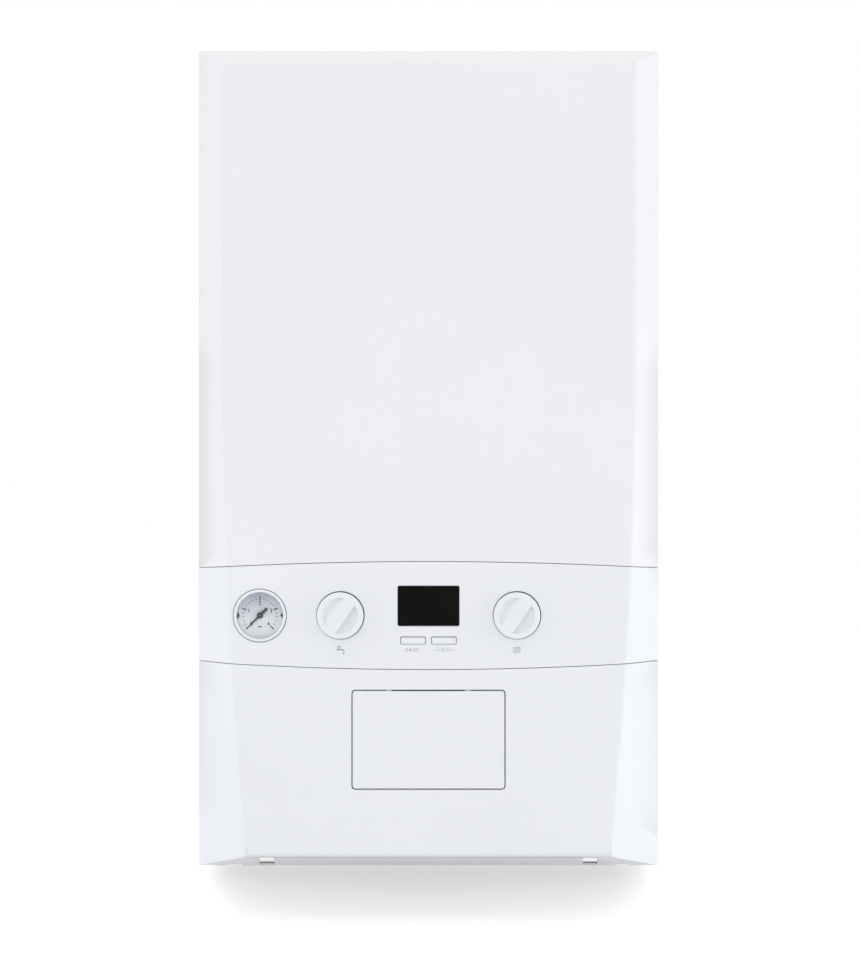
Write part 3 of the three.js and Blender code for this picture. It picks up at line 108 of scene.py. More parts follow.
GAUGE_X, CONTROL_Z, GAUGE_RADIUS = -144, 215.6, 22.4
KNOB_X, KNOB_RADIUS, KNOB_TURN, KNOB_STAND = 75.4, 19.9, 35, 6
WINDOW_Z, WINDOW_WIDTH, WINDOW_HEIGHT = 223.8, 52.4, 34.1
BUTTON_X, BUTTON_Z, BUTTON_WIDTH, BUTTON_HEIGHT = 13.2, 194.4, 21.6, 6.7
TIMER_Z, TIMER_WIDTH, TIMER_HEIGHT = 109.6, 131.5, 85.3
FASCIA_SCREW_X = 138.5
BOARD_Y = -256
PRINT = 0.06  # thickness of printed marks
FINE = 96  # sides of a large round

# ---------------------------------------------------------------- outlines


def circle(u, v, radius, sides=64):
    turns = [2 * pi * i / sides for i in range(sides)]
    return [(u + radius * cos(a), v + radius * sin(a)) for a in turns]


def polar(u, v, radius, turn):
    """The point at a radius and an angle in degrees from u, v."""
    return u + radius * cos(radians(turn)), v + radius * sin(radians(turn))


def rectangle(u0, u1, v0, v1):
    return [(u0, v0), (u1, v0), (u1, v1), (u0, v1)]


def round_rectangle(u, v, width, height, radius, steps=8):
    """A rectangle with round corners, centred on u, v."""
    points = []
    for su, sv, start in ((1, 1, 0), (-1, 1, 90), (-1, -1, 180), (1, -1, 270)):
        corner = (u + su * (width / 2 - radius), v + sv * (height / 2 - radius))
        points += [polar(*corner, radius, start + 90 * i / steps) for i in range(steps + 1)]
    return points


def area(outline):
    ahead = outline[1:] + outline[:1]
    return sum(a[0] * b[1] - b[0] * a[1] for a, b in zip(outline, ahead)) / 2


def inset(outline, distance):
    """The outline moved inwards on every side, or outwards if distance is negative."""
    edges = []
    for (u, v), (nu, nv) in zip(outline, outline[1:] + outline[:1]):
        length = hypot(nu - u, nv - v)
        du, dv = (nu - u) / length, (nv - v) / length
        edges.append((u - dv * distance, v + du * distance, du, dv))
    moved = []
    for (bu, bv, bdu, bdv), (u, v, du, dv) in zip(edges[-1:] + edges[:-1], edges):
        turn = bdu * dv - bdv * du
        if abs(turn) < 1e-6:
            moved.append((u, v))
            continue
        along = ((u - bu) * dv - (v - bv) * du) / turn
        moved.append((bu + bdu * along, bv + bdv * along))
    return moved


def rounded(before, corner, after, radius, steps=8):
    """The arc that rounds the corner between two straight sides."""
    before, corner, after = (Vector(p) for p in (before, corner, after))
    back, ahead = (before - corner).normalized(), (after - corner).normalized()
    half = acos(max(-1, min(1, back.dot(ahead)))) / 2
    centre = corner + (back + ahead).normalized() * radius / sin(half)
    start = corner + back * radius / tan(half) - centre
    end = corner + ahead * radius / tan(half) - centre
    sweep = atan2(start.x * end.y - start.y * end.x, start.dot(end))
    return [tuple(centre + Matrix.Rotation(sweep * i / steps, 2) @ start) for i in range(steps + 1)]


# ---------------------------------------------------------------- solids


def spot(axis, u, v, along):
    """A point from an outline's u, v and its place along an axis."""
    return {"x": (along, u, v), "y": (u, along, v), "z": (u, v, along)}[axis]


def solid(points, faces, flip=False):
    mesh = bpy.data.meshes.new("solid")
    mesh.from_pydata(points, [], [face[::-1] for face in faces] if flip else faces)
    return mesh


def loft(axis, levels):
    """A skin over (place, outline) levels with equal numbers of points, closed at both ends."""
    count = len(levels[0][1])
    points = [spot(axis, u, v, at) for at, outline in levels for u, v in outline]
    faces = [list(range(count))[::-1], list(range(len(points) - count, len(points)))]
    for row in range(0, len(points) - count, count):
        for i in range(count):
            a, b = row + i, row + (i + 1) % count
            faces.append([a, b, b + count, a + count])
    rising = levels[-1][0] > levels[0][0]
    return solid(points, faces, flip=(axis == "y") == rising)


def prism(axis, outline, low, high):
    """An outline pushed along an axis: u, v are x, y along z; x, z along y; and y, z along x."""
    if area(outline) < 0:
        outline = outline[::-1]
    return loft(axis, [(low, outline), (high, outline)])


def box(x0, x1, y0, y1, z0, z1):
    return prism("z", rectangle(x0, x1, y0, y1), z0, z1)


def rod(axis, u, v, radius, low, high, sides=48):
    return prism(axis, circle(u, v, radius, sides), low, high)


def turned(axis, u, v, profile, sides=64):
    """A closed profile of (radius, height) points turned about a line along an axis."""
    if area(profile) < 0:
        profile = profile[::-1]
    points, rings = [], []
    for radius, height in profile:
        if radius < 1e-6:
            rings.append([len(points)] * sides)
            points.append(spot(axis, u, v, height))
            continue
        rings.append(list(range(len(points), len(points) + sides)))
        points += [spot(axis, a, b, height) for a, b in circle(u, v, radius, sides)]
    faces = []
    for ring, above in zip(rings, rings[1:] + rings[:1]):
        for j in range(sides):
            k = (j + 1) % sides
            corners = list(dict.fromkeys([ring[j], ring[k], above[k], above[j]]))
            if len(corners) > 2:
                faces.append(corners)
    return solid(points, faces, flip=axis == "y")


def band(axis, u, v, inner, outer, low, high, sides=64):
    """A round collar, or a round slab if inner is 0."""
    profile = [(inner, low), (outer, low), (outer, high), (inner, high)]
    return turned(axis, u, v, profile, sides)


def route(points, bend, steps=10):
    """A pipe's centre line: straight runs joined by round bends."""
    at = [Vector(p) for p in points]
    line = [at[0]]
    for before, corner, after in zip(at, at[1:], at[2:]):
        back, ahead = (before - corner).normalized(), (after - corner).normalized()
        half = back.angle(ahead) / 2
        centre = corner + (back + ahead).normalized() * bend / sin(half)
        arm = corner + back * bend / tan(half) - centre
        axis = arm.cross(corner + ahead * bend / tan(half) - centre)
        for k in range(steps + 1):
            line.append(centre + Matrix.Rotation((pi - 2 * half) * k / steps, 3, axis) @ arm)
    return line + [at[-1]]


def tube(line, radius, sides):
    """A round bar along a line."""
    turns = [2 * pi * j / sides for j in range(sides)]
    tangent = (line[1] - line[0]).normalized()
    normal = tangent.orthogonal().normalized()
    points = []
    for i, at in enumerate(line):
        ahead = (line[min(i + 1, len(line) - 1)] - line[max(i - 1, 0)]).normalized()
        normal = tangent.rotation_difference(ahead) @ normal
        tangent = ahead
        across = tangent.cross(normal)
        points += [at + radius * (cos(a) * normal + sin(a) * across) for a in turns]
    faces = [list(range(sides))[::-1], list(range(len(points) - sides, len(points)))]
    for row in range(0, len(points) - sides, sides):
        for j in range(sides):
            a, b = row + j, row + (j + 1) % sides
            faces.append([a, b, b + sides, a + sides])
    return solid(points, faces)


def placed(name, data):
    """A new object in the scene."""
    obj = bpy.data.objects.new(name, data)
    bpy.context.scene.collection.objects.link(obj)
    return obj


def evaluated(obj):
    graph = bpy.context.evaluated_depsgraph_get()
    return bpy.data.meshes.new_from_object(obj.evaluated_get(graph))


def boolean(operation, first, others):
    """first joined to, cut by or kept inside the others, as a new mesh."""
    work = placed("work", first)
    tools = []
    for mesh in others:
        tool = placed("tool", mesh)
        tools.append(tool)
        step = work.modifiers.new("step", "BOOLEAN")
        step.solver = "MANIFOLD"
        step.operation = operation
        step.object = tool
    made = evaluated(work)
    for obj in [work, *tools]:
        bpy.data.objects.remove(obj)
    return made


def join(first, *others):
    return boolean("UNION", first, others)


def cut(first, *others):
    return boolean("DIFFERENCE", first, others)


def common(first, other):
    return boolean("INTERSECT", first, [other])


def moved(mesh, x=0, y=0, z=0, turn=0, axis="Y"):
    """A copy of a mesh, turned about an axis through the origin by degrees, then moved."""
    copy = mesh.copy()
    copy.transform(Matrix.Translation((x, y, z)) @ Matrix.Rotation(radians(turn), 4, axis))
    return copy


# ---------------------------------------------------------------- materials


def add_node(tree, kind, sockets=(), **settings):
    """A new node. Its sockets, by name or number, are linked or set to a value."""
    node = tree.nodes.new("ShaderNode" + kind)
    for key, value in settings.items():
        setattr(node, key, value)
    for key, value in dict(sockets).items():
        if isinstance(value, bpy.types.NodeSocket):
            tree.links.new(value, node.inputs[key])
        else:
            node.inputs[key].default_value = value
    return node


class Shader:
    """A node material under construction. Its texture scale is in features per metre."""

    def __init__(self, name, color, roughness, metallic=0.0):
        self.material = bpy.data.materials.new(name)
        self.material.use_nodes = True
        self.links = self.material.node_tree.links
        self.bsdf = self.material.node_tree.nodes["Principled BSDF"]
        self.color = color
        self.set("Base Color", (*color, 1))
        self.set("Roughness", roughness)
        self.set("Metallic", metallic)
        self.coordinates = self.node("TexCoord").outputs["Object"]
        self.normal = None

    def set(self, name, value):
        self.bsdf.inputs[name].default_value = value

    def node(self, kind, sockets=(), **settings):
        return add_node(self.material.node_tree, kind, sockets, **settings)

    def stretched(self, x=1, y=1, z=1):
        """Coordinates scaled along each axis, for grain that runs one way."""
        node = self.node("Mapping", {"Vector": self.coordinates, "Scale": (x, y, z)})
        return node.outputs["Vector"]

    def noise(self, scale, detail=2, vector=None, roughness=0.5):
        sockets = {
            "Vector": vector or self.coordinates, "Scale": scale, "Detail": detail,
            "Roughness": roughness,
        }
        return self.node("TexNoise", sockets).outputs["Fac"]

    def cells(self, scale, output="Distance", vector=None, feature="F1"):
        sockets = {"Vector": vector or self.coordinates, "Scale": scale}
        return self.node("TexVoronoi", sockets, feature=feature).outputs[output]

    def levels(self, value, low, high, start=0.0, end=1.0):
        """value's range from low to high spread over start to end."""
        sockets = {
            "Value": value, "From Min": low, "From Max": high, "To Min": start, "To Max": end,
        }
        return self.node("MapRange", sockets).outputs["Result"]

    def mixed(self, factor, first, second):
        sockets = {0: factor}
        for index, value in ((6, first), (7, second)):
            sockets[index] = value if isinstance(value, bpy.types.NodeSocket) else (*value, 1)
        return self.node("Mix", sockets, data_type="RGBA").outputs[2]

    def tint(self, factor, first, second=None):
        """The base colour, or what is there so far, mixed with another colour."""
        base = self.bsdf.inputs["Base Color"]
        if second is None:
            second = first
            first = base.links[0].from_socket if base.is_linked else self.color
        self.links.new(self.mixed(factor, first, second), base)
        return self

    def gloss(self, factor, low, high):
        """Roughness from low to high as factor goes from 0 to 1."""
        self.links.new(self.levels(factor, 0, 1, low, high), self.bsdf.inputs["Roughness"])
        return self

    def bump(self, height, depth, strength=1.0):
        """Raises the surface by depth millimetres where height is 1."""
        sockets = {"Height": height, "Distance": depth * MM, "Strength": strength}
        if self.normal is not None:
            sockets["Normal"] = self.normal
        self.normal = self.node("Bump", sockets).outputs["Normal"]
        self.links.new(self.normal, self.bsdf.inputs["Normal"])
        return self


def scaled(color, factor):
    return tuple(min(1.0, c * factor) for c in color)


def coating(name, color, roughness, shade, gloss, grain, extra=()):
    """A finish from three noises, each given by its scale and detail. shade goes on with the
    range that is used and the two colours it mixes, gloss with the lowest and the highest
    roughness, and grain with a depth in millimetres and a strength."""
    shader = Shader(name, color, roughness)
    for key, value in dict(extra).items():
        shader.set(key, value)
    scale, detail, low, high, first, second = shade
    shader.tint(shader.levels(shader.noise(scale, detail), low, high), first, second)
    scale, detail, low, high = gloss
    shader.gloss(shader.noise(scale, detail), low, high)
    scale, detail, depth, strength = grain
    shader.bump(shader.noise(scale, detail), depth, strength)
    return shader.material


def powder_coat(name, color, roughness, grain):
    """Powder-coated or textured white: orange peel, and a shade that drifts very slightly."""
    shade = (5, 2, 0.3, 0.7, scaled(color, 0.985), scaled(color, 1.01))
    gloss = (60, 3, roughness - 0.05, roughness + 0.06)
    coat = {"Coat Weight": 0.12, "Coat Roughness": 0.25}
    return coating(name, color, roughness, shade, gloss, (grain, 2, 0.012, 0.5), coat)


def galvanised():
    """Zinc spangle: flat crystals of slightly different grey, with fine rolling lines."""
    base = (0.46, 0.475, 0.485)
    shader = Shader("galvanised", base, 0.42, 0.85)
    wobble = shader.noise(60, 2)
    crystal = shader.cells(140, "Color")
    grey = shader.node("SeparateColor", {"Color": crystal}).outputs["Red"]
    shader.tint(shader.levels(grey, 0, 1), scaled(base, 0.82), scaled(base, 1.22))
    shader.gloss(grey, 0.34, 0.52)
    shader.bump(grey, 0.02, 0.4)
    shader.bump(wobble, 0.03, 0.4)
    return shader.material


def cast_aluminium():
    """Die-cast skin: fine pits, and darker flow marks."""
    base = (0.48, 0.485, 0.49)
    shader = Shader("cast_aluminium", base, 0.55, 0.75)
    flow = shader.levels(shader.noise(14, 5, roughness=0.65), 0.35, 0.7)
    shader.tint(flow, scaled(base, 0.78), scaled(base, 1.15))
    shader.gloss(shader.noise(180, 4), 0.42, 0.68)
    shader.bump(shader.noise(700, 4), 0.09, 0.6)
    pits = shader.levels(shader.cells(520), 0.0, 0.35)
    shader.bump(pits, 0.03, 0.5)
    return shader.material


def stainless():
    base = (0.55, 0.55, 0.545)
    shader = Shader("stainless", base, 0.28, 1.0)
    brushed = shader.noise(1.0, 4, shader.stretched(60, 60, 2600))
    shader.tint(shader.levels(brushed, 0.3, 0.7), scaled(base, 0.88), scaled(base, 1.08))
    shader.gloss(brushed, 0.2, 0.4)
    shader.bump(brushed, 0.01, 0.5)
    return shader.material


def copper():
    """Drawn tube, a little tarnished in cloudy patches."""
    base = (0.62, 0.27, 0.145)
    shader = Shader("copper", base, 0.3, 1.0)
    cloud = shader.levels(shader.noise(28, 5, roughness=0.6), 0.4, 0.72)
    shader.tint(cloud, base, (0.36, 0.15, 0.09))
    shader.gloss(shader.noise(45, 4), 0.22, 0.46)
    shader.bump(shader.noise(600, 3), 0.012, 0.4)
    return shader.material


def brass():
    base = (0.6, 0.44, 0.17)
    shader = Shader("brass", base, 0.3, 1.0)
    cloud = shader.levels(shader.noise(40, 4), 0.4, 0.75)
    shader.tint(cloud, base, (0.42, 0.29, 0.12))
    turning = shader.noise(1.0, 2, shader.stretched(20, 20, 2200))
    shader.gloss(turning, 0.24, 0.42)
    shader.bump(turning, 0.012, 0.5)
    return shader.material


def moulding(name, color, roughness, grain=900, depth=0.03):
    """Moulded plastic with a spark-eroded grain and a faint flow of shade."""
    shade = (18, 3, 0.35, 0.7, scaled(color, 0.9), scaled(color, 1.12))
    gloss = (120, 3, roughness - 0.06, roughness + 0.08)
    return coating(name, color, roughness, shade, gloss, (grain, 3, depth, 0.6))


def vessel_paint():
    base = (0.27, 0.29, 0.31)
    shade = (9, 4, 0.35, 0.7, scaled(base, 0.9), scaled(base, 1.1))
    gloss, grain = (90, 3, 0.34, 0.5), (420, 3, 0.03, 0.5)
    return coating("vessel_paint", base, 0.42, shade, gloss, grain, {"Coat Weight": 0.2})


def foam():
    base = (0.035, 0.036, 0.038)
    shader = Shader("foam", base, 0.95)
    cells = shader.cells(1600)
    shader.tint(cells, scaled(base, 0.5), scaled(base, 1.8))
    shader.bump(cells, 0.25, 0.8)
    return shader.material


def rubber():
    base = (0.022, 0.022, 0.023)
    shader = Shader("rubber", base, 0.7)
    bloom = shader.levels(shader.noise(60, 4), 0.45, 0.75)
    shader.tint(bloom, base, (0.05, 0.05, 0.052))
    shader.gloss(bloom, 0.6, 0.85)
    shader.bump(shader.noise(900, 3), 0.03, 0.6)
    return shader.material


def circuit():
    """A green board with a fine lattice of copper tracks under the lacquer."""
    base = (0.012, 0.115, 0.055)
    shader = Shader("circuit", base, 0.32)
    tracks = shader.cells(260, "Distance", shader.stretched(1, 1, 0.4), "DISTANCE_TO_EDGE")
    line = shader.levels(tracks, 0.03, 0.06, 1, 0)
    shader.tint(line, base, (0.03, 0.22, 0.11))
    shader.bump(line, 0.03, 0.7)
    shader.gloss(shader.noise(50, 3), 0.25, 0.42)
    return shader.material


def dark_window():
    """Glossy smoked window: almost black, with a trace of olive towards its middle."""
    shade = (14, 2, 0.35, 0.65, (0.0012, 0.0012, 0.001), (0.0034, 0.0034, 0.002))
    gloss, grain = (40, 2, 0.08, 0.16), (30, 2, 0.01, 0.2)
    dim = {"Specular IOR Level": 0.06}
    return coating("dark_window", (0.003, 0.0032, 0.002), 0.12, shade, gloss, grain, dim)


def clear_window():
    shader = Shader("clear_window", (0.96, 0.98, 0.99), 0.04)
    shader.set("Transmission Weight", 1.0)
    shader.set("IOR", 1.2)
    shader.gloss(shader.noise(60, 3), 0.02, 0.07)
    shader.bump(shader.noise(25, 2), 0.01, 0.2)
    return shader.material


def ceramic():
    base = (0.8, 0.77, 0.7)
    shade = (160, 3, 0.4, 0.7, base, scaled(base, 0.86))
    gloss, grain = (200, 3, 0.12, 0.3), (350, 2, 0.01, 0.4)
    return coating("ceramic", base, 0.18, shade, gloss, grain)


def dial_paper():
    """The dial: pale lilac grey, with painted shade that darkens it towards the top of the well in
    place of the bezel's shadow.
    """
    base = (0.76, 0.75, 0.77)
    shader = Shader("dial", base, 0.6)
    # Painted shade: from 4 mm below the gauge's centre to 19 mm above it the dial darkens to a
    # grey-blue, standing in for the shadow that the bezel casts into the well.
    height = shader.node("SeparateXYZ", {"Vector": shader.coordinates}).outputs["Z"]
    centre = (CONTROL_Z - BRACKET_Z) * MM
    shade = shader.levels(height, centre - 4 * MM, centre + 19 * MM)
    shader.tint(shade, base, (0.36, 0.385, 0.46))
    shader.tint(shader.levels(shader.noise(700, 3), 0.3, 0.7, 0, 0.12), (0.9, 0.89, 0.92))
    shader.gloss(shader.noise(200, 2), 0.55, 0.68)
    shader.bump(shader.noise(1500, 2), 0.005, 0.4)
    return shader.material


def ink(name, color):
    """Screen-printed ink with slightly uneven cover."""
    shade = (900, 3, 0.35, 0.7, color, scaled(color, 1.5))
    return coating(name, color, 0.5, shade, (300, 2, 0.42, 0.6), (900, 2, 0.006, 0.4))


WHITE_PAINT = (0.838, 0.823, 0.86)
WHITE_MOULDING = (0.815, 0.835, 0.875)

FINISHES = {
    "white_paint": powder_coat("white_paint", WHITE_PAINT, 0.36, 700),
    "white_moulding": powder_coat("white_moulding", WHITE_MOULDING, 0.42, 1100),
    "galvanised": galvanised(),
    "cast_aluminium": cast_aluminium(),
    "stainless": stainless(),
    "copper": copper(),
    "brass": brass(),
    "black_moulding": moulding("black_moulding", (0.018, 0.02, 0.023), 0.45),
    "grey_moulding": moulding("grey_moulding", (0.105, 0.115, 0.13), 0.5),
    "vessel_paint": vessel_paint(),
    "foam": foam(),
    "rubber": rubber(),
    "circuit": circuit(),
    "dark_window": dark_window(),
    "clear_window": clear_window(),
    "red_moulding": moulding("red_moulding", (0.42, 0.022, 0.026), 0.38, 700, 0.02),
    "ceramic": ceramic(),
}
STEEL, BRASS, RUBBER = FINISHES["stainless"], FINISHES["brass"], FINISHES["rubber"]
ALUMINIUM, CERAMIC = FINISHES["cast_aluminium"], FINISHES["ceramic"]
# the dial's material holds painted shade towards its top
DIAL = dial_paper()
DIAL_INK = ink("dial_ink", (0.03, 0.03, 0.035))
GREY_INK = ink("grey_ink", (0.33, 0.34, 0.37))
COMPONENT_BLACK = moulding("component_black", (0.012, 0.012, 0.013), 0.38, 1500, 0.01)
COMPONENT_WHITE = moulding("component_white", (0.6, 0.59, 0.55), 0.45, 1500, 0.01)
RELAY_BLUE = moulding("relay_blue", (0.02, 0.09, 0.22), 0.4, 1500, 0.01)

# ---------------------------------------------------------------- pieces

SLOTS = {part["node"]: part["material_slot"] for part in frame["record"]["subparts"]}
NODES = frame["nodes"]


def round_edges(obj, rim, angle=40, clamp=False):
    """Rounds the sharp edges by rim millimetres, and keeps flat faces looking flat."""
    if rim:
        bevel = obj.modifiers.new("round edges", "BEVEL")
        bevel.width = rim * MM
        bevel.segments = 2
        bevel.limit_method = "ANGLE"
        bevel.angle_limit = radians(angle)
        bevel.use_clamp_overlap = clamp
    weighted = obj.modifiers.new("face normals", "WEIGHTED_NORMAL")
    weighted.keep_sharp = True


def clean(bm, merge):
    """Merges what the booleans left apart, and joins faces that lie in one plane."""
    bmesh.ops.remove_doubles(bm, verts=bm.verts, dist=merge)
    bmesh.ops.dissolve_degenerate(bm, edges=bm.edges, dist=merge / 2)
    bmesh.ops.dissolve_limit(
        bm, angle_limit=radians(0.05), verts=bm.verts, edges=bm.edges, delimit={"MATERIAL"},
    )


def piece(node, mesh, rim=0.3, angle=40, details=(), clamp=False, merge=0.02):
    """The visible piece that stands for a CAD node and rides on its body. details are more
    (mesh, material) pairs of the same piece. clamp keeps the rounding of a shape with short
    edges from crossing itself, and points closer than merge millimetres become one."""
    parts = [(mesh, FINISHES[SLOTS[node]]), *details]
    bm = bmesh.new()
    finishes = []
    for part, finish in parts:
        if finish not in finishes:
            finishes.append(finish)
        start = len(bm.faces)
        bm.from_mesh(part)
        bm.faces.ensure_lookup_table()
        for face in bm.faces[start:]:
            face.material_index = finishes.index(finish)
    clean(bm, merge)
    for face in bm.faces:
        face.smooth = True
    for edge in bm.edges:
        edge.smooth = len(edge.link_faces) == 2 and edge.calc_face_angle(0) < radians(angle)
    made = bpy.data.meshes.new(node)
    bm.to_mesh(made)
    bm.free()
    made.transform(Matrix.Scale(MM, 4) @ Matrix.Translation((0, 0, -BRACKET_Z)))
    for finish in finishes:
        made.materials.append(finish)
    obj = placed(node + "_form", made)
    round_edges(obj, rim, angle, clamp)
    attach(obj, NODES[node]["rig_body"])
    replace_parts(obj, node)
    return obj


def dress(node):
    """A CAD node whose shape is right: it gets its finish and rounded edges."""
    obj = NODES[node]
    obj.data.materials.clear()
    obj.data.materials.append(FINISHES[SLOTS[node]])
    weld = obj.modifiers.new("weld", "WELD")
    weld.merge_threshold = 0.00001
    flat = obj.modifiers.new("join flat faces", "DECIMATE")
    flat.decimate_type = "DISSOLVE"
    flat.angle_limit = radians(0.5)
    round_edges(obj, 0.3, 30)


# ---------------------------------------------------------------- the bevelled front


def face_half(z):
    """Half the width of the flat face at a height."""
    below = max(TAPER_START - z, 0)
    return FACE_HALF - TAPER_RADIUS + sqrt(TAPER_RADIUS**2 - below**2)


def front_space(wall):
    """The space that the whole front takes up, drawn in by the thickness of a wall."""
    back = SKIRT_Y + 2 * MOULDING if wall else SKIRT_Y
    radius = EDGE_RADIUS - wall
    past = 5
    half = CASE_WIDTH / 2

    def plan(z):
        face = face_half(z)
        corners = [(half, back), (-half, back), (-half, BEVEL_Y)]
        corners += [(-face, FACE_Y), (face, FACE_Y), (half, BEVEL_Y)]
        sharp = inset(corners, wall)
        left = rounded(sharp[2], sharp[3], sharp[4], radius)
        right = rounded(sharp[3], sharp[4], sharp[5], radius)
        return [*sharp[:3], *left, *right, sharp[5]]

    heights = [-past, *range(0, TAPER_START + 1, 25), CASE_HEIGHT + past]
    lengthwise = loft("z", [(z, plan(z)) for z in heights])
    side = inset(
        [
            (back, 0),
            (back, CASE_HEIGHT),
            (BEVEL_Y, CASE_HEIGHT),
            (FACE_Y, CASE_HEIGHT - TOP_BEVEL),
            (FACE_Y, FOOT_BEVEL),
            (BEVEL_Y, 0),
        ],
        wall,
    )
    top = rounded(side[2], side[3], side[4], radius)
    foot = rounded(side[3], side[4], side[5], radius)
    profile = [*side[:3], *top, *foot, side[5]]
    return common(lengthwise, prism("x", profile, -CASE_WIDTH, CASE_WIDTH))


def seam_line(seam, up):
    """Points along a seam from left to right, moved up by a distance."""
    z, radius = seam
    reach = CASE_WIDTH / 2 + 10
    steps = 48
    line = []
    for i in range(steps + 1):
        x = -reach + 2 * reach * i / steps
        bow = abs(radius) - sqrt(radius**2 - x**2)
        line.append((x, z + (bow if radius > 0 else -bow) + up))
    return line


def between(lower, upper):
    return prism("y", [*lower, *upper[::-1]], FACE_Y - 20, 0)


def level_line(z):
    return [(-CASE_WIDTH, z), (CASE_WIDTH, z)]


def front_shell(wall, lower, upper, inner_lower, inner_upper):
    """A shell between two lines, whose walls along the lines are cut short behind the face."""
    inside = front_space(wall)
    outside = common(front_space(0), between(lower, upper))
    hollow = common(inside, between(inner_lower, inner_upper))
    behind = box(-CASE_WIDTH, CASE_WIDTH, FACE_Y + FLANGE, 0, -10, CASE_HEIGHT + 10)
    return cut(outside, hollow, common(inside, behind))


def front_panel():
    half = SEAM_GAP / 2
    shell = front_shell(
        SKIN,
        seam_line(UPPER_SEAM, half),
        level_line(CASE_HEIGHT + 10),
        seam_line(UPPER_SEAM, half + SKIN),
        level_line(CASE_HEIGHT + 10),
    )
    piece("front_panel", shell, rim=0.3)


# ---------------------------------------------------------------- the fascias


def printed(outline):
    """A thin mark on the face."""
    return prism("y", outline, FACE_Y - PRINT, FACE_Y + 0.2)


def stroke(x0, z0, x1, z1, width):
    """A straight printed line on the face."""
    along = Vector((x1 - x0, z1 - z0)).normalized()
    across = Vector((-along.y, along.x)) * width / 2
    ends = [Vector((x0, z0)) - across, Vector((x1, z1)) - across]
    ends += [Vector((x1, z1)) + across, Vector((x0, z0)) + across]
    return printed([tuple(p) for p in ends])


def ring(x, z, radius, width, start=0, turn=360, sides=32):
    """A printed arc or ring on the face, from start through turn degrees."""
    outer, inner = radius + width / 2, radius - width / 2
    if turn == 360:
        hole = rod("y", x, z, inner, FACE_Y - 1, FACE_Y + 1, sides)
        return cut(printed(circle(x, z, outer, sides)), hole)
    turns = [start + turn * i / sides for i in range(sides + 1)]
    outline = [polar(x, z, outer, at) for at in turns]
    return printed(outline + [polar(x, z, inner, at) for at in turns[::-1]])


def disc(x, z, radius, sides=24):
    return printed(circle(x, z, radius, sides))


def tap_mark(x, z):
    """A tap with its handle, spout and a drop."""
    return [
        stroke(x - 3.2, z + 0.2, x + 1.6, z + 0.2, 1.5),
        stroke(x - 0.8, z + 0.4, x - 0.8, z + 2.4, 1.2),
        stroke(x - 2.6, z + 2.8, x + 1.0, z + 2.8, 1.1),
        ring(x + 1.4, z - 1.3, 1.6, 1.4, -5, 100, 10),
        disc(x + 3, z - 3, 0.95),
    ]


def radiator_mark(x, z):
    bars = [
        stroke(x + offset, z - 2.6, x + offset, z + 2.6, 0.75)
        for offset in (-2.6, -0.9, 0.9, 2.6)
    ]
    rails = [stroke(x - 3.2, z + level, x + 3.2, z + level, 0.6) for level in (-1.9, 1.9)]
    return bars + rails


def mode_mark(x, z):
    """Four small symbols in a row: sun, tap drop, bars and moon."""
    marks = [ring(x - 4.8, z, 1.1, 0.6, 0, 360, 16), disc(x - 1.5, z, 1.1)]
    marks += [
        stroke(x + 1.2 + i * 0.9, z - 1.4, x + 1.2 + i * 0.9, z + 1.4, 0.45)
        for i in range(3)
    ]
    return [*marks, ring(x + 5.2, z, 1.1, 0.6, 60, 240, 12)]


def restart_mark(x, z):
    """A circling arrow between two rows of ticks."""
    marks = [ring(x, z, 1.4, 0.6, 60, 290, 16), stroke(x + 0.7, z + 1.2, x + 2.1, z + 1.2, 0.6)]
    for side in (-1, 1):
        for i in range(4):
            at = x + side * (3.2 + i * 1.6)
            marks.append(stroke(at, z - 1.3 + 0.3 * i, at, z + 1.3 - 0.3 * i, 0.5))
    return marks


def opening(outline, chamfer):
    """A cutter for a hole through the face, with its front edge chamfered."""
    through = prism("y", outline, FACE_Y - 5, FACE_Y + MOULDING + 10)
    if not chamfer:
        return through
    wide = inset(outline, -2 * chamfer)
    return join(through, loft("y", [(FACE_Y + chamfer, outline), (FACE_Y - chamfer, wide)]))


def control_fascia():
    """The upper fascia, with its openings, the knobs' collars and the printed marks."""
    half = SEAM_GAP / 2
    fascia = front_shell(
        MOULDING,
        seam_line(LOWER_SEAM, half),
        seam_line(UPPER_SEAM, -half),
        seam_line(LOWER_SEAM, half + MOULDING),
        seam_line(UPPER_SEAM, -half - MOULDING),
    )
    window = round_rectangle(0, WINDOW_Z, WINDOW_WIDTH, WINDOW_HEIGHT, 1.2)
    buttons = [
        round_rectangle(s * BUTTON_X, BUTTON_Z, BUTTON_WIDTH, BUTTON_HEIGHT, 1.2)
        for s in (-1, 1)
    ]
    shift = 0.22  # the holes sit a little up and right of the knobs
    knobs = [
        circle(s * KNOB_X + shift, CONTROL_Z + shift, KNOB_RADIUS + 0.65, FINE)
        for s in (-1, 1)
    ]
    back = FACE_Y + MOULDING
    collars = [prism("y", inset(k, -1.8), back - 0.5, back + 6) for k in knobs]
    collars.append(prism("y", inset(window, -1.8), back - 0.5, back + 4))
    fascia = join(fascia, *collars)
    fascia = cut(
        fascia,
        opening(circle(GAUGE_X, CONTROL_Z, GAUGE_RADIUS + 0.5, FINE), 0),
        *[opening(k, 0) for k in knobs],
        opening(window, 0.9),
        *[opening(b, 0.3) for b in buttons],
    )
    mark_z = 186.3
    marks = tap_mark(-KNOB_X, mark_z) + radiator_mark(KNOB_X, mark_z)
    marks += mode_mark(-14, mark_z) + restart_mark(13, mark_z)
    piece("control_fascia", fascia, rim=0.3, angle=50, details=[(mark, GREY_INK) for mark in marks])


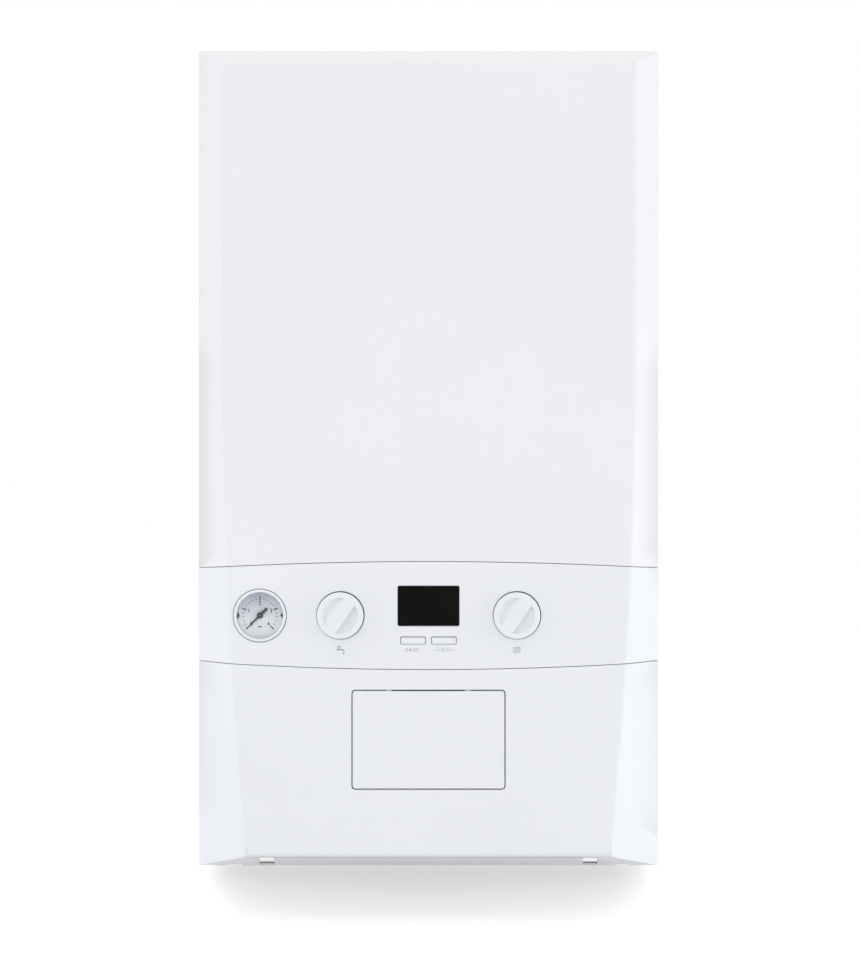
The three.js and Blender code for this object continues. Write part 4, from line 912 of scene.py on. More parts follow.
def lower_fascia():
    """The fascia below, with the timer's well and notches for the screws and hinges."""
    half = SEAM_GAP / 2
    back = FACE_Y + MOULDING
    fascia = front_shell(
        MOULDING,
        level_line(-10),
        seam_line(LOWER_SEAM, -half),
        level_line(-10),
        seam_line(LOWER_SEAM, -half - MOULDING),
    )
    timer = round_rectangle(0, TIMER_Z, TIMER_WIDTH, TIMER_HEIGHT, 3.3)
    well = cut(
        prism("y", inset(timer, -2), back - 0.5, back + 13), prism("y", timer, back - 1, back + 14),
    )
    fascia = join(cut(fascia, opening(timer, 0)), well)
    notches = []
    for side in (-1, 1):
        slot, nick, hinge = FASCIA_SCREW_X * side, 166 * side, 189 * side
        notches += [
            box(slot - 6.3, slot + 6.3, FACE_Y + 3, BEVEL_Y, -5, 12),
            box(nick - 6, nick + 6, BEVEL_Y - 6, SKIRT_Y + 1, -5, 1.5),
            box(hinge - 6, hinge + 6, BEVEL_Y - 1, SKIRT_Y + 1, -5, 6),
        ]
    corner = prism(
        "x", [(SKIRT_Y + 1, -1), (SKIRT_Y + 1, 5), (SKIRT_Y - 5, -1)], -CASE_WIDTH, CASE_WIDTH,
    )
    piece("lower_fascia", cut(fascia, *notches, corner), rim=0.35, angle=50)


def timer_blank():
    """The plate that covers the timer's place, with the two clips that bridge its top gap."""
    gap = 0.9
    plate = round_rectangle(0, TIMER_Z, TIMER_WIDTH - 2 * gap, TIMER_HEIGHT - 2 * gap, 2.5)
    top = TIMER_Z + TIMER_HEIGHT / 2
    blank = cut(
        prism("y", plate, FACE_Y, FACE_Y + 8),
        prism("y", inset(plate, 2), FACE_Y + 2.2, FACE_Y + 9),
    )
    clips = [
        box(x - 2.1, x + 2.1, FACE_Y + 0.4, FACE_Y + 6, top - 3, top - 0.25)
        for x in (-33.6, 33.6)
    ]
    ribs = [
        box(x - 0.6, x + 0.6, FACE_Y + 2, FACE_Y + 6.5, TIMER_Z - 40, TIMER_Z + 40)
        for x in (-40, 0, 40)
    ]
    piece("timer_blank", join(blank, *clips, *ribs), rim=0.45)


def display_lens():
    outline = round_rectangle(0, WINDOW_Z, WINDOW_WIDTH - 0.6, WINDOW_HEIGHT - 0.6, 1)
    piece("display_lens", prism("y", outline, FACE_Y + 0.3, FACE_Y + 3.3), rim=0.2)


def button(node, x):
    """A push button, with a stem that reaches back to its switch."""
    cap = round_rectangle(x, BUTTON_Z - 0.25, BUTTON_WIDTH - 1, BUTTON_HEIGHT - 1.1, 0.9)
    proud = FACE_Y - 0.8
    mesh = join(
        loft("y", [(FACE_Y + 4, cap), (FACE_Y - 0.3, cap), (proud, inset(cap, 0.35))]),
        prism("y", inset(cap, -1.3), FACE_Y + MOULDING + TOUCH, FACE_Y + 4.2),
        rod("y", x, BUTTON_Z, 1.5, FACE_Y + 4, BOARD_Y - 6.8, 24),
    )
    piece(node, mesh, rim=0.25)


def knob(node, x):
    """A round knob with a bar across a dished face."""
    front = -KNOB_STAND
    radius = KNOB_RADIUS
    dish_radius, dish_depth = 15.2, 5
    bar = 5.4
    shoulder = rounded((0, front), (radius, front), (radius, 6), 1.6, 6)
    body = turned(
        "y", 0, 0,
        [
            (0, front), *shoulder, (radius, 6), (radius - 2, 6), (radius - 2, 2), (6, 2), (6, 11),
            (3, 11), (3, 21), (0, 21),
        ],
        96,
    )
    bowl = []
    for i in range(17):
        a = pi / 2 * i / 16
        bowl.append((dish_radius * sin(a), front + dish_depth * cos(a) ** 0.7))
    lip = (dish_radius + 0.8, front - 0.8)
    hollow = turned("y", 0, 0, [*bowl, lip, (0, front - 0.8)], FINE)
    taper = loft(
        "y",
        [
            (front + 8, round_rectangle(-5, 0, 2 * bar + 11, 60, 3)),
            (front, round_rectangle(0, 0, 2 * bar, 60, 3)),
            (front - 3, round_rectangle(0, 0, 2 * bar, 60, 3)),
        ],
    )
    mesh = cut(body, cut(hollow, taper))
    piece(node, moved(mesh, x, FACE_Y, CONTROL_Z, KNOB_TURN), rim=0.2, angle=28, clamp=True)


def numeral(text, x, z, y, size):
    """A digit that faces the front."""
    curve = bpy.data.curves.new("numeral", "FONT")
    curve.body = text
    curve.size = size
    curve.align_x, curve.align_y = "CENTER", "CENTER"
    curve.extrude = PRINT
    curve.offset = size * 0.02
    obj = placed("numeral", curve)
    mesh = evaluated(obj)
    bpy.data.objects.remove(obj)
    mesh.transform(Matrix.Translation((x, y, z)) @ Matrix.Rotation(pi / 2, 4, "X"))
    return mesh


def gauge():
    """The pressure gauge: bezel, printed dial, glass and needle."""
    y, r = FACE_Y, GAUGE_RADIUS
    dial_y = y + 6
    print_y = dial_y - 0.15
    well = 19.5  # the dial's radius
    lip = rounded((r, y + 10), (r, y - 1.5), (20.2, y - 1.5), 1.0, 6)
    inner = rounded((r, y - 1.5), (20.0, y - 1.5), (19.6, y + 6), 0.6, 4)
    body = turned(
        "y", GAUGE_X, CONTROL_Z,
        [
            (0, y + 36), (4, y + 36), (4, y + 26), (well, y + 26), (well, y + 10), (r, y + 10),
            *lip, *inner, (19.6, y + 6), (1.5, y + 6), (1.5, y + 9), (0, y + 9),
        ],
        96,
    )
    paper = band("y", GAUGE_X, CONTROL_Z, 2, well, print_y, dial_y + 0.1, FINE)
    marks = []

    def at(turn, radius):
        a = radians(turn)
        return GAUGE_X + radius * sin(a), CONTROL_Z + radius * cos(a)

    def tick(turn, low, high, width):
        line = stroke(*at(turn, low), *at(turn, high), width)
        marks.append(moved(line, y=print_y - y))

    for value in range(5):
        turn = -135 + 67.5 * value
        tick(turn, 12.6, 16.4, 1.0)
        x, z = at(turn, 10.3)
        marks.append(numeral(str(value), x, z, print_y, 4.4))
        if value < 4:
            for minor in range(1, 5):
                tick(turn + 13.5 * minor, 13.8, 14.8, 0.8)
    tick(180, 9.2, 10.1, 2.8)
    for side, width in ((-90, 5.4), (90, 4)):
        tick(side, 18.4, well, width)
        tick(side, 17.7, 18.6, width * 0.55)
    piece(
        "gauge_case", body, rim=0, angle=50, merge=0.004,
        details=[(paper, DIAL), *[(mark, DIAL_INK) for mark in marks]],
    )
    glass = band("y", GAUGE_X, CONTROL_Z, 0, 19.3, y + 0.8, y + 2.3, FINE)
    piece("gauge_glass", glass, rim=0.2)
    tip = radians(225)
    side = [(-8.5, 0.9), (-7.9, 1.25), (-2, 1.1), (1, 0.9), (12.8, 0.4)]
    blade = []
    for along, across in side + [(along, -across) for along, across in side[::-1]]:
        u = GAUGE_X + along * sin(tip) + across * cos(tip)
        v = CONTROL_Z + along * cos(tip) - across * sin(tip)
        blade.append((u, v))
    needle = join(
        prism("y", blade, y + 3.6, y + 4.6),
        rod("y", GAUGE_X, CONTROL_Z, 2.6, y + 3.2, y + 5),
        rod("y", GAUGE_X, CONTROL_Z, 1.1, y + 4.5, y + 8, 24),
    )
    cap = turned(
        "y", GAUGE_X, CONTROL_Z, [(0, y + 2.9), (0.4, y + 3), (0.5, y + 3.4), (0, y + 3.4)], 24,
    )
    piece("gauge_needle", needle, rim=0.1, details=[(cap, STEEL)])


def controls():
    control_fascia()
    lower_fascia()
    timer_blank()
    display_lens()
    button("mode_button", -BUTTON_X)
    button("restart_button", BUTTON_X)
    knob("dhw_knob", -KNOB_X)
    knob("ch_knob", KNOB_X)
    gauge()


# ---------------------------------------------------------------- chassis

HALF_INSIDE = 196
CASE_EDGE_Y = -224.5
WEB_Y = -16.5
FLOOR_Z = 268
SHEET = 1.5
FIT = 0.4
LANDING = 14
SHEET_HALF = HALF_INSIDE - FIT  # half the width of the folded sheets
FLUE = (0, -140)
HINGE = (-232, 6)
CONNECTION_Y = -110
HOUSING_BACK = -186
SIGHT = (-20, 490, 12)  # x, height, radius of the sight glass
ELECTRODE_Z = 494
ELECTRODES = (("ignition_electrode", -60), ("flame_electrode", 20))
PUMP = (115, 150)  # x and height of the pump's axis
VALVE = (6, 152)  # middle of the gas valve's body
RAIL_Z, RAIL_FRONT = 22, -140
RELIEF = (172, -100, 95)
TRAP = (-42, -152)
TRAP_OUTLET = (-74, -156)
CONNECTIONS = [
    ("connection_ch_flow", -130, 22, 46),
    ("connection_dhw_outlet", -65, 15, 46),
    ("connection_gas", 0, 22, 120),
    ("connection_cold_inlet", 65, 15, 46),
    ("connection_ch_return", 130, 22, 46),
]
ENGINE_LEFT, ENGINE_RIGHT, ENGINE_FRONT, ENGINE_BACK = -105, 65, -208, -98
ENGINE_FOOT, ENGINE_TOP = 333, 520.7
FAN_X, FAN_Y, FAN_FOOT, FAN_TOP = 118, -150, 560, 605
FLOW_PORT, RETURN_PORT = (-120, 480), (-160, 352)
FLOOR_HOLES = [(98, -120, 11), (142, -105, 11), (172, -150, 9), (-60, -56, 8), (*TRAP, 11)]


def mirror(mesh):
    """A copy of a mesh for the other side of the case."""
    copy = mesh.copy()
    copy.transform(Matrix.Scale(-1, 4, (1, 0, 0)))
    copy.flip_normals()
    return copy


def hex_head(axis, u, v, radius, base, top):
    """A hexagon bolt head on a thin washer; top is its free end."""
    step = 0.6 if top > base else -0.6
    head = loft(
        axis,
        [
            (base, circle(u, v, radius * 0.9, 6)), (top - step, circle(u, v, radius * 0.9, 6)),
            (top, circle(u, v, radius * 0.78, 6)),
        ],
    )
    return join(
        head, prism(axis, circle(u, v, radius, 32), min(base, base + step), max(base, base + step)),
    )


def back_panel():
    """The wall bracket, and the tray that hangs on its hooks."""
    half, back = SHEET_HALF, WEB_Y + SHEET
    plate = prism("y", round_rectangle(0, BRACKET_Z, 300, 46, 4), -2, 0)
    hooks = []
    for x in (-100, 100):
        hooks.append(box(x - 15, x + 15, WEB_Y - TOUCH - 2, -1, BRACKET_Z + 6, BRACKET_Z + 8))
        hooks.append(
            box(x - 15, x + 15, WEB_Y - TOUCH - 2, WEB_Y - TOUCH, BRACKET_Z + 6, BRACKET_Z + 20)
        )
    holes = [rod("y", x, BRACKET_Z - 10, 4, -5, 5) for x in (-135, -60, 60, 135)]
    piece("wall_bracket", cut(join(plate, *hooks), *holes), rim=0.4)

    tray = cut(
        box(-half, half, WEB_Y, 0, 3, CASE_HEIGHT - 3),
        box(-half + SHEET, half - SHEET, back, 1, 3 + SHEET, CASE_HEIGHT - 3 - SHEET),
    )
    swages = [round_rectangle(0, z, 280, 18, 8.9, 10) for z in (150, 320, 560)]
    raised = [
        loft("y", [(WEB_Y, inset(s, -1.6)), (back + 3.5, s), (back + 5, inset(s, 1.2))])
        for s in swages
    ]
    hollow = [
        loft(
            "y",
            [
                (WEB_Y - 1, inset(s, 0.3)), (back + 3.5 - SHEET, inset(s, SHEET)),
                (back + 5 - SHEET, inset(s, 2.7)),
            ],
        )
        for s in swages
    ]
    slots = [
        box(x - 18, x + 18, WEB_Y - 1, back + 1, BRACKET_Z - 12, BRACKET_Z + 8 + TOUCH)
        for x in (-100, 100)
    ]
    piece("back_panel", cut(join(tray, *raised), *hollow, *slots), rim=0.4)


def top_and_floor():
    """The top panel and the chamber floor, both with a lip along the front."""
    half, landing = SHEET_HALF, SHEET_HALF - LANDING
    under = CASE_HEIGHT - SHEET
    sheet = join(
        box(-half, half, CASE_EDGE_Y, 0, under, CASE_HEIGHT),
        box(
            -landing, landing, CASE_EDGE_Y, CASE_EDGE_Y + SHEET, under - LANDING, CASE_HEIGHT - 0.5,
        ),
    )
    piece("top_panel", cut(sheet, rod("z", *FLUE, 53, under - 5, CASE_HEIGHT + 5, FINE)), rim=0.4)

    top = FLOOR_Z + SHEET
    floor_sheet = join(
        box(-half, half, CASE_EDGE_Y + SHEET + TOUCH, WEB_Y - TOUCH, FLOOR_Z, top),
        box(-landing, landing, CASE_EDGE_Y, CASE_EDGE_Y + 5, FLOOR_Z, top),
        box(-landing, landing, CASE_EDGE_Y, CASE_EDGE_Y + SHEET, FLOOR_Z, top + LANDING),
    )
    piece(
        "chamber_floor",
        cut(floor_sheet, *[rod("z", x, y, r, FLOOR_Z - 5, top + 5) for x, y, r in FLOOR_HOLES]),
    )


def pipe_rail():
    """The rail that the connections stand on."""
    half = SHEET_HALF
    rail = join(
        box(-half, half, RAIL_FRONT, WEB_Y - TOUCH, RAIL_Z, RAIL_Z + 2),
        box(-half, half, RAIL_FRONT, RAIL_FRONT + 2, RAIL_Z - 14, RAIL_Z + 2),
    )
    holes = [rod("z", x, CONNECTION_Y, 13.6, 0, 40) for _, x, _, _ in CONNECTIONS]
    piece("pipe_rail", cut(rail, *holes, rod("z", RELIEF[0], RELIEF[1], 8.2, 0, 40)), rim=0.4)


def hinges():
    """The straps whose pins carry the control box."""
    inner = 192
    y, z = HINGE
    strap = join(
        prism("x", rectangle(y, -184, 1, 11), inner, inner + 1.8),
        rod("x", y, z, 5, inner, inner + 1.8),
        prism("x", rectangle(-216, -184, 1, 40), inner, inner + 1.8),
        box(inner, HALF_INSIDE - TOUCH, -212, -188, 4, 36),
        turned(
            "x", y, z,
            [(0, inner - 9), (2, inner - 9), (2.5, inner - 8.3), (2.5, inner + 1), (0, inner + 1)],
            32,
        ),
    )
    piece("hinge_bracket_right", strap)
    piece("hinge_bracket_left", mirror(strap))


def flue_collar():
    """The concentric seat on top: an outer ring, spokes and the inner pipe's end."""
    rise = CASE_HEIGHT + 3.5
    outer = turned(
        "z", *FLUE,
        [
            (50, CASE_HEIGHT - 8), (52, CASE_HEIGHT - 8), (52, CASE_HEIGHT + TOUCH),
            (64, CASE_HEIGHT + TOUCH), (64, CASE_HEIGHT + 1.8), (63.2, CASE_HEIGHT + 2.6),
            (53, CASE_HEIGHT + 2.6), (52, CASE_HEIGHT + 3.2), (51.7, rise), (50, rise),
        ],
        FINE,
    )
    pipe_end = turned(
        "z", *FLUE,
        [(29.5, 685), (33, 685), (33, rise - 0.6), (32.4, rise), (30.1, rise), (29.5, rise - 0.6)],
        FINE,
    )
    seal = turned("z", *FLUE, [(32.6, 694), (34.2, 694.6), (34.2, 695.6), (32.6, 696.2)], FINE)
    spokes = [
        moved(box(31.5, 51.5, -1.5, 1.5, CASE_HEIGHT - 8, CASE_HEIGHT - 2), *FLUE, 0, turn, "Z")
        for turn in (90, 210, 330)
    ]
    rubber_seal = turned("z", *FLUE, [(50.2, 695), (48.6, 696), (48.2, 697.4), (50.2, 697)], FINE)
    heads = [
        (turned("z", *polar(*FLUE, 58, t),
                [(0, 702.4), (3.2, 702.4), (3.1, 702.9), (2, 703.4), (0, 703.5)], 32), STEEL)
        for t in (45, 135, 225, 315)
    ]
    piece(
        "flue_collar", join(outer, pipe_end, seal, *spokes),
        details=[(rubber_seal, RUBBER), *heads],
    )


# ---------------------------------------------------------------- sealing panel


def sealing_panel():
    """The burner chamber's inner cover, dished forward inside its sealing margin."""
    back = CASE_EDGE_Y - 4.5
    middle, height = (272 + 697) / 2, 697 - 272

    def frame_line(inward, radius):
        return round_rectangle(0, middle, 2 * (191 - inward), height - 2 * inward, radius)

    front = back - SHEET
    outside = loft("y", [(front + 0.5, frame_line(24, 12)), (front, frame_line(24, 12)),
                         (front - 8.2, frame_line(31.2, 9)), (front - 9, frame_line(32.4, 8))])
    hollow = loft("y", [(back + 1, frame_line(24.7, 12)), (back - 9, frame_line(32.7, 8))])
    gx, gz, gr = SIGHT
    seat = turned(
        "y", gx, gz,
        [(0, back - 9.5), (16, back - 9.5), (16, back - 10.8), (14.8, back - 12), (0, back - 12)],
        64,
    )
    cover = cut(join(prism("y", frame_line(0, 6), front, back), outside), hollow)
    beads = []
    for z in (360, 600):
        line = round_rectangle(0, z, 250, 12, 5.9, 8)
        beads.append(
            loft("y", [(back - 9.5, line), (back - 10.5, line), (back - 11.5, inset(line, 1.2))])
        )
    cover = cut(join(cover, seat, *beads), rod("y", gx, gz, gr + TOUCH, back - 30, back + 5, 64))
    heads = [
        (hex_head("y", x, z, 5.5, front, front - 4), STEEL)
        for x in (-184, 184)
        for z in (300, 668)
    ]
    piece("sealing_panel", cover, rim=0.35, details=heads)
    gasket = cut(
        prism("y", frame_line(2, 6), back + TOUCH, CASE_EDGE_Y - TOUCH),
        prism("y", frame_line(10, 6), back - 1, CASE_EDGE_Y + 1),
    )
    piece("chamber_gasket", gasket, rim=0.8)
    pane = turned(
        "y", gx, gz,
        [
            (0, back - 11.5), (gr - 0.6, back - 11.5), (gr, back - 10.9), (gr, back - 9.5),
            (0, back - 9.5),
        ],
        64,
    )
    piece("sight_glass", pane, rim=0)


# ---------------------------------------------------------------- control box, inside


def control_housing():
    """The tray behind both fascias, with the arms that hang on the hinge pins."""
    half, foot, top, front, back = 172, 28, 238, -252, HOUSING_BACK
    outline = round_rectangle(0, (foot + top) / 2, 2 * half, top - foot, 5)
    inside_line = round_rectangle(0, (foot + top) / 2, 2 * half - 5, top - foot - 5, 3)
    tray = cut(
        prism("y", outline, front, back),
        prism("y", inside_line, front - 1, back - MOULDING),
    )
    y, z = HINGE
    added, holes = [], []
    for side in (-1, 1):
        low, high = sorted((side * 184, side * 190.5))
        added.append(prism("x", rectangle(y - 4, y + 4.4, z, 60), low, high))
        added.append(rod("x", y, z, 4.4, low, high))
        added.append(box(*sorted((side * (half - 1), side * 190.5)), y - 4, y + 4.4, 46, 60))
        screw = side * FASCIA_SCREW_X
        added.append(box(screw - 8, screw + 8, front - 6, front + 8, 17, foot + 1))
        holes.append(rod("x", y, z, 2.85, low - 2, high + 2))
        holes.append(rod("z", screw, front + 0.5, 2.3, 10, foot - 1))
    added += [rod("z", x, back - 20, 12, foot - 7, foot + 1) for x in (-140, 120)]
    holes += [rod("z", x, back - 20, 8, foot - 10, foot + 5) for x in (-140, 120)]
    added += [rod("y", x, 100, 4, back - 15.2, back - 1, 32) for x in (-120, 0, 120)]
    holes += [box(i * 24 - 6, i * 24 + 6, back - 10, back + 5, 213, 217) for i in range(-2, 3)]
    ribs = [
        box(x - 0.8, x + 0.8, back - 1, back - 0.1, foot + 12, top - 40)
        for x in (-150, -100, -50, 50, 100, 150)
    ]
    piece("control_housing", cut(join(tray, *added, *ribs), *holes), rim=0.4)
    for name, x in (("fascia_screw_left", -FASCIA_SCREW_X), ("fascia_screw_right", FASCIA_SCREW_X)):
        axis = front + 0.5
        screw = turned(
            "z", x, axis,
            [
                (0, 12.2), (2.6, 12.2), (4.2, 13.4), (4.2, 16.7), (2, 16.7), (2, 25), (1.4, 26),
                (0, 26),
            ],
            48,
        )
        cross = join(
            box(x - 2.4, x + 2.4, axis - 0.5, axis + 0.5, 11, 14),
            box(x - 0.5, x + 0.5, axis - 2.4, axis + 2.4, 11, 14),
        )
        piece(name, cut(screw, cross), rim=0.15)


def main_board():
    """The board on the control housing's back, with its components."""
    back = HOUSING_BACK - 17
    front = back - 1.6
    board = box(-150, 150, front, back, 50, 150)
    parts = [
        (
            join(
                box(-142, -96, front - 26, front + 0.2, 94, 128),
                box(-136, -102, front - 32, front - 4, 100, 122),
            ),
            COMPONENT_BLACK,
        )
    ]
    parts += [
        (box(x, x + 18, front - 16, front + 0.2, 108, 136), RELAY_BLUE)
        for x in (-70, -46, -22)
    ]
    for x in (10, 34):
        can = turned(
            "y", x, 122,
            [
                (0, front), (9, front), (9, front - 2), (8.5, front - 2.8), (9, front - 3.6),
                (9, front - 25), (8.2, front - 26), (0, front - 26),
            ],
            48,
        )
        parts.append((can, COMPONENT_BLACK))
        parts.append((rod("y", x, 122, 7.6, front - 26, front - 25.5), STEEL))
    for x in (-136, -90, -44, 2, 48, 94):
        shell = cut(
            box(x, x + 36, front - 12, front + 0.2, 53, 65),
            box(x + 1.2, x + 34.8, front - 10.8, front - 1, 50, 63),
        )
        parts.append((shell, COMPONENT_WHITE))
        parts += [
            (box(x + 3 + i * 5.5, x + 4.2 + i * 5.5, front - 7, front - 5.8, 54, 63.5), BRASS)
            for i in range(6)
        ]
    sink = join(
        box(60, 104, front - 3, front + 0.2, 96, 140),
        *[box(61 + i * 10, 64 + i * 10, front - 20, front - 2, 96, 140) for i in range(5)],
    )
    parts.append((sink, ALUMINIUM))
    parts.append((box(112, 142, front - 5, front + 0.2, 84, 100), COMPONENT_BLACK))
    parts.append((rod("x", front - 6.5, 92, 2.5, 115, 139, 24), CERAMIC))
    parts += [
        (rod("x", front - 6.5, 92, 2.8, a, b, 24), STEEL)
        for a, b in ((114, 119), (135, 140))
    ]
    parts += [
        (box(x, x + w, front - 1.8, front + 0.2, z, z + h), COMPONENT_BLACK)
        for x, z, w, h in (
            (-84, 76, 14, 14), (-58, 80, 9, 6), (-30, 78, 12, 12), (0, 80, 7, 5), (18, 82, 10, 6),
            (66, 72, 8, 12), (120, 108, 16, 9), (-135, 70, 10, 7),
        )
    ]
    parts += [
        (box(x, x + 3.2, front - 1.2, front + 0.2, z, z + 1.6), COMPONENT_WHITE)
        for x, z in (
            (-64, 72), (-64, 76), (-40, 72), (-12, 90), (-8, 94), (40, 78), (44, 82), (52, 88),
            (84, 84), (90, 80), (-110, 74), (-104, 80), (60, 90), (104, 76),
        )
    ]
    piece("main_board", board, rim=0.15, details=parts)


def display_board():
    """The board behind the fascia: display, switches and the knobs' potentiometers."""
    y = BOARD_Y
    board = box(-105, 105, y, y + 1.6, 180, 236)
    holes = [rod("y", s * KNOB_X, CONTROL_Z, 3.6, y - 5, y + 12) for s in (-1, 1)]
    parts = [(box(-24, 24, y - 12, y + 0.2, WINDOW_Z - 15, WINDOW_Z + 10), COMPONENT_BLACK)]
    parts += [
        (
            join(
                box(s * BUTTON_X - 3, s * BUTTON_X + 3, y - 3.6, y + 0.2, 191.4, 197.4),
                rod("y", s * BUTTON_X, 194.4, 1.7, y - 5, y - 3, 24),
            ),
            COMPONENT_BLACK,
        )
        for s in (-1, 1)
    ]
    for s in (-1, 1):
        body = box(s * KNOB_X - 9, s * KNOB_X + 9, y + 1.4, y + 9, CONTROL_Z - 10, CONTROL_Z + 8)
        parts.append(
            (cut(body, rod("y", s * KNOB_X, CONTROL_Z, 3.6, y - 5, y + 7)), COMPONENT_BLACK)
        )
    parts += [
        (box(-60, -34, y + 1.4, y + 9, 184, 192), COMPONENT_WHITE),
        (box(-8, 8, y + 1.4, y + 3, 196, 212), COMPONENT_BLACK),
    ]
    piece("display_board", cut(board, *holes), rim=0.12, details=parts)


# ---------------------------------------------------------------- heat engine


def engine_outline(grow, radius=14):
    """The heat engine's plan, grown on every side."""
    return round_rectangle(
        (ENGINE_LEFT + ENGINE_RIGHT) / 2,
        (ENGINE_FRONT + ENGINE_BACK) / 2,
        ENGINE_RIGHT - ENGINE_LEFT + 2 * grow,
        ENGINE_BACK - ENGINE_FRONT + 2 * grow,
        radius,
        6,
    )


def heat_exchanger():
    """A ribbed casting with a combustion space at its top and flueways below it."""
    foot, top = ENGINE_FOOT, ENGINE_TOP
    block = prism("z", engine_outline(-5), foot, top)
    added = [
        prism("z", engine_outline(0), foot, foot + 8), prism("z", engine_outline(0), top - 8, top),
    ]
    added += [
        loft(
            "z",
            [
                (z, engine_outline(-4)), (z + 0.9, engine_outline(-1)),
                (z + 2.1, engine_outline(-1)), (z + 3, engine_outline(-4)),
            ],
        )
        for z in range(foot + 16, int(top) - 12, 12)
    ]
    added += [
        rod("x", *port, 14, ENGINE_RIGHT - 8, ENGINE_RIGHT + 9)
        for port in (FLOW_PORT, RETURN_PORT)
    ]
    added += [rod("y", x, ELECTRODE_Z, 11, ENGINE_FRONT, ENGINE_FRONT + 10) for _, x in ELECTRODES]
    added += [
        box(x - 5, x + 5, ENGINE_FRONT + 0.5, ENGINE_FRONT + 8, foot + 4, top - 4)
        for x in (-98, 58)
    ]
    tools = [box(-88, 46, -190, -114, 455, top + 5)]
    tools += [box(-84, 42, -184 + i * 9.5, -179 + i * 9.5, foot - 5, 460) for i in range(7)]
    tools += [rod("y", x, ELECTRODE_Z, 2.2, ENGINE_FRONT - 5, -180, 24) for _, x in ELECTRODES]
    piece("heat_exchanger", cut(join(block, *added), *tools), rim=0.5)


def burner():
    """A half-round trough with closed ends, hung by a brim under the hood."""

    def arc(radius):
        return [polar(-152, 514, radius, 180 + 6 * i) for i in range(31)]

    skin = prism("x", arc(26) + arc(24.5)[::-1], -78, 36)
    ends = [prism("x", arc(26), x, x + 1.5) for x in (-78, 34.5)]
    brim = cut(box(-84, 42, -184, -120, 513.5, 515), box(-78, 36, -176.5, -127.5, 512, 516))
    piece("burner", join(skin, *ends, brim), rim=0.12)


def burner_hood():
    """The cover that leads the mixture from the fan down into the burner."""
    foot = ENGINE_TOP + TOUCH
    hood = join(
        prism("z", engine_outline(0), foot, foot + 7),
        loft(
            "z",
            [
                (foot + 5, engine_outline(-10, 18)), (foot + 26, engine_outline(-14, 18)),
                (foot + 33, engine_outline(-18, 18)), (foot + 36, engine_outline(-26, 18)),
            ],
        ),
        box(-52, 61.5, -207, -166, 550, 603), box(54, 61.5, -211, -162, 556, 607),
    )
    hood = cut(
        hood,
        box(-46, 62, -202, -171, 566, 598),
        box(-46, 30, -180, -171, 535, 570),
        box(-72, 32, -180, -128, foot - 5, 540),
    )
    corners = [(x, y) for x in (-97, 57) for y in (ENGINE_FRONT + 7, ENGINE_BACK - 7)]
    bolts = [(hex_head("z", x, y, 4.9, foot + 6.5, foot + 12), STEEL) for x, y in corners]
    ribs = [box(x - 1.5, x + 1.5, -166.5, -112, foot + 6, foot + 34) for x in (-50, -20, 10)]
    piece("burner_hood", join(hood, *ribs), rim=0.8, details=bolts)


def scroll():
    """The fan housing's outline: a spiral that widens to a straight outlet."""
    steps = 80
    spiral = [
        polar(FAN_X, FAN_Y, 44 + 14 * (1 - i / steps), -90 + 310 * i / steps)
        for i in range(steps + 1)
    ]
    return [(62, FAN_Y - 58), *spiral, (62, FAN_Y - 24)]


def fan_housing():
    """The scroll, hollow from the inlet in its foot to the outlet on its left."""
    x, y, foot, top, wall = FAN_X, FAN_Y, FAN_FOOT, FAN_TOP, 2.5
    outline = scroll()
    cavity = inset(outline, wall)
    way = [(cavity[0][0] - 10, cavity[0][1]), *cavity[1:-1], (cavity[-1][0] - 10, cavity[-1][1])]
    lugs = [rod("z", *polar(x, y, 52, t), 4, 574, 592, 24) for t in (-60, 20, 100)]
    shell = join(
        prism("z", outline, foot, top),
        prism("z", inset(outline, -1.2), 581, 585),
        rod("z", x, y, 34, top - 0.5, top + 3, FINE),
        turned("z", x, y, [(20, foot), (26, foot), (25, foot + 0.2), (25, foot + 2)], 64),
        *lugs,
    )
    shell = cut(
        shell,
        prism("z", way, foot + wall, top - wall),
        rod("z", x, y, 21, foot - 5, foot + 5, 64),
        rod("z", x, y, 6, top - 5, top + 5),
        box(50, 61.8, -220, -150, foot - 5, top + 5),
    )
    piece("fan_housing", shell, rim=0.5)


def fan_impeller():
    """Nine swept blades between two discs, on a hub that reaches up to the motor."""
    height, base, top = 22, FAN_FOOT + 8, FAN_TOP
    sweep = ((21, 0), (24, 7), (28, 17), (32, 26), (36, 34))  # radius, degrees
    front = [polar(0, 0, radius, turn) for radius, turn in sweep]
    back = [polar(0, 0, radius, turn + 3.5) for radius, turn in sweep]
    blade = prism("z", front + back[::-1], base, base + height)
    wheel = join(
        rod("z", 0, 0, 37, base + height - 0.5, base + height + 1.5, FINE),
        cut(
            rod("z", 0, 0, 37, base - 1.5, base + 0.5, FINE),
            rod("z", 0, 0, 22, base - 5, base + 5, 64),
        ),
        turned(
            "z", 0, 0,
            [
                (0, base + 6), (5, base + 6), (6, base + 12), (8, base + height),
                (4, base + height + 4), (4, top + 3), (0, top + 3),
            ],
            48,
        ),
        *[moved(blade, turn=40 * i, axis="Z") for i in range(9)],
    )
    piece("fan_impeller", moved(wheel, FAN_X, FAN_Y), rim=0.2)


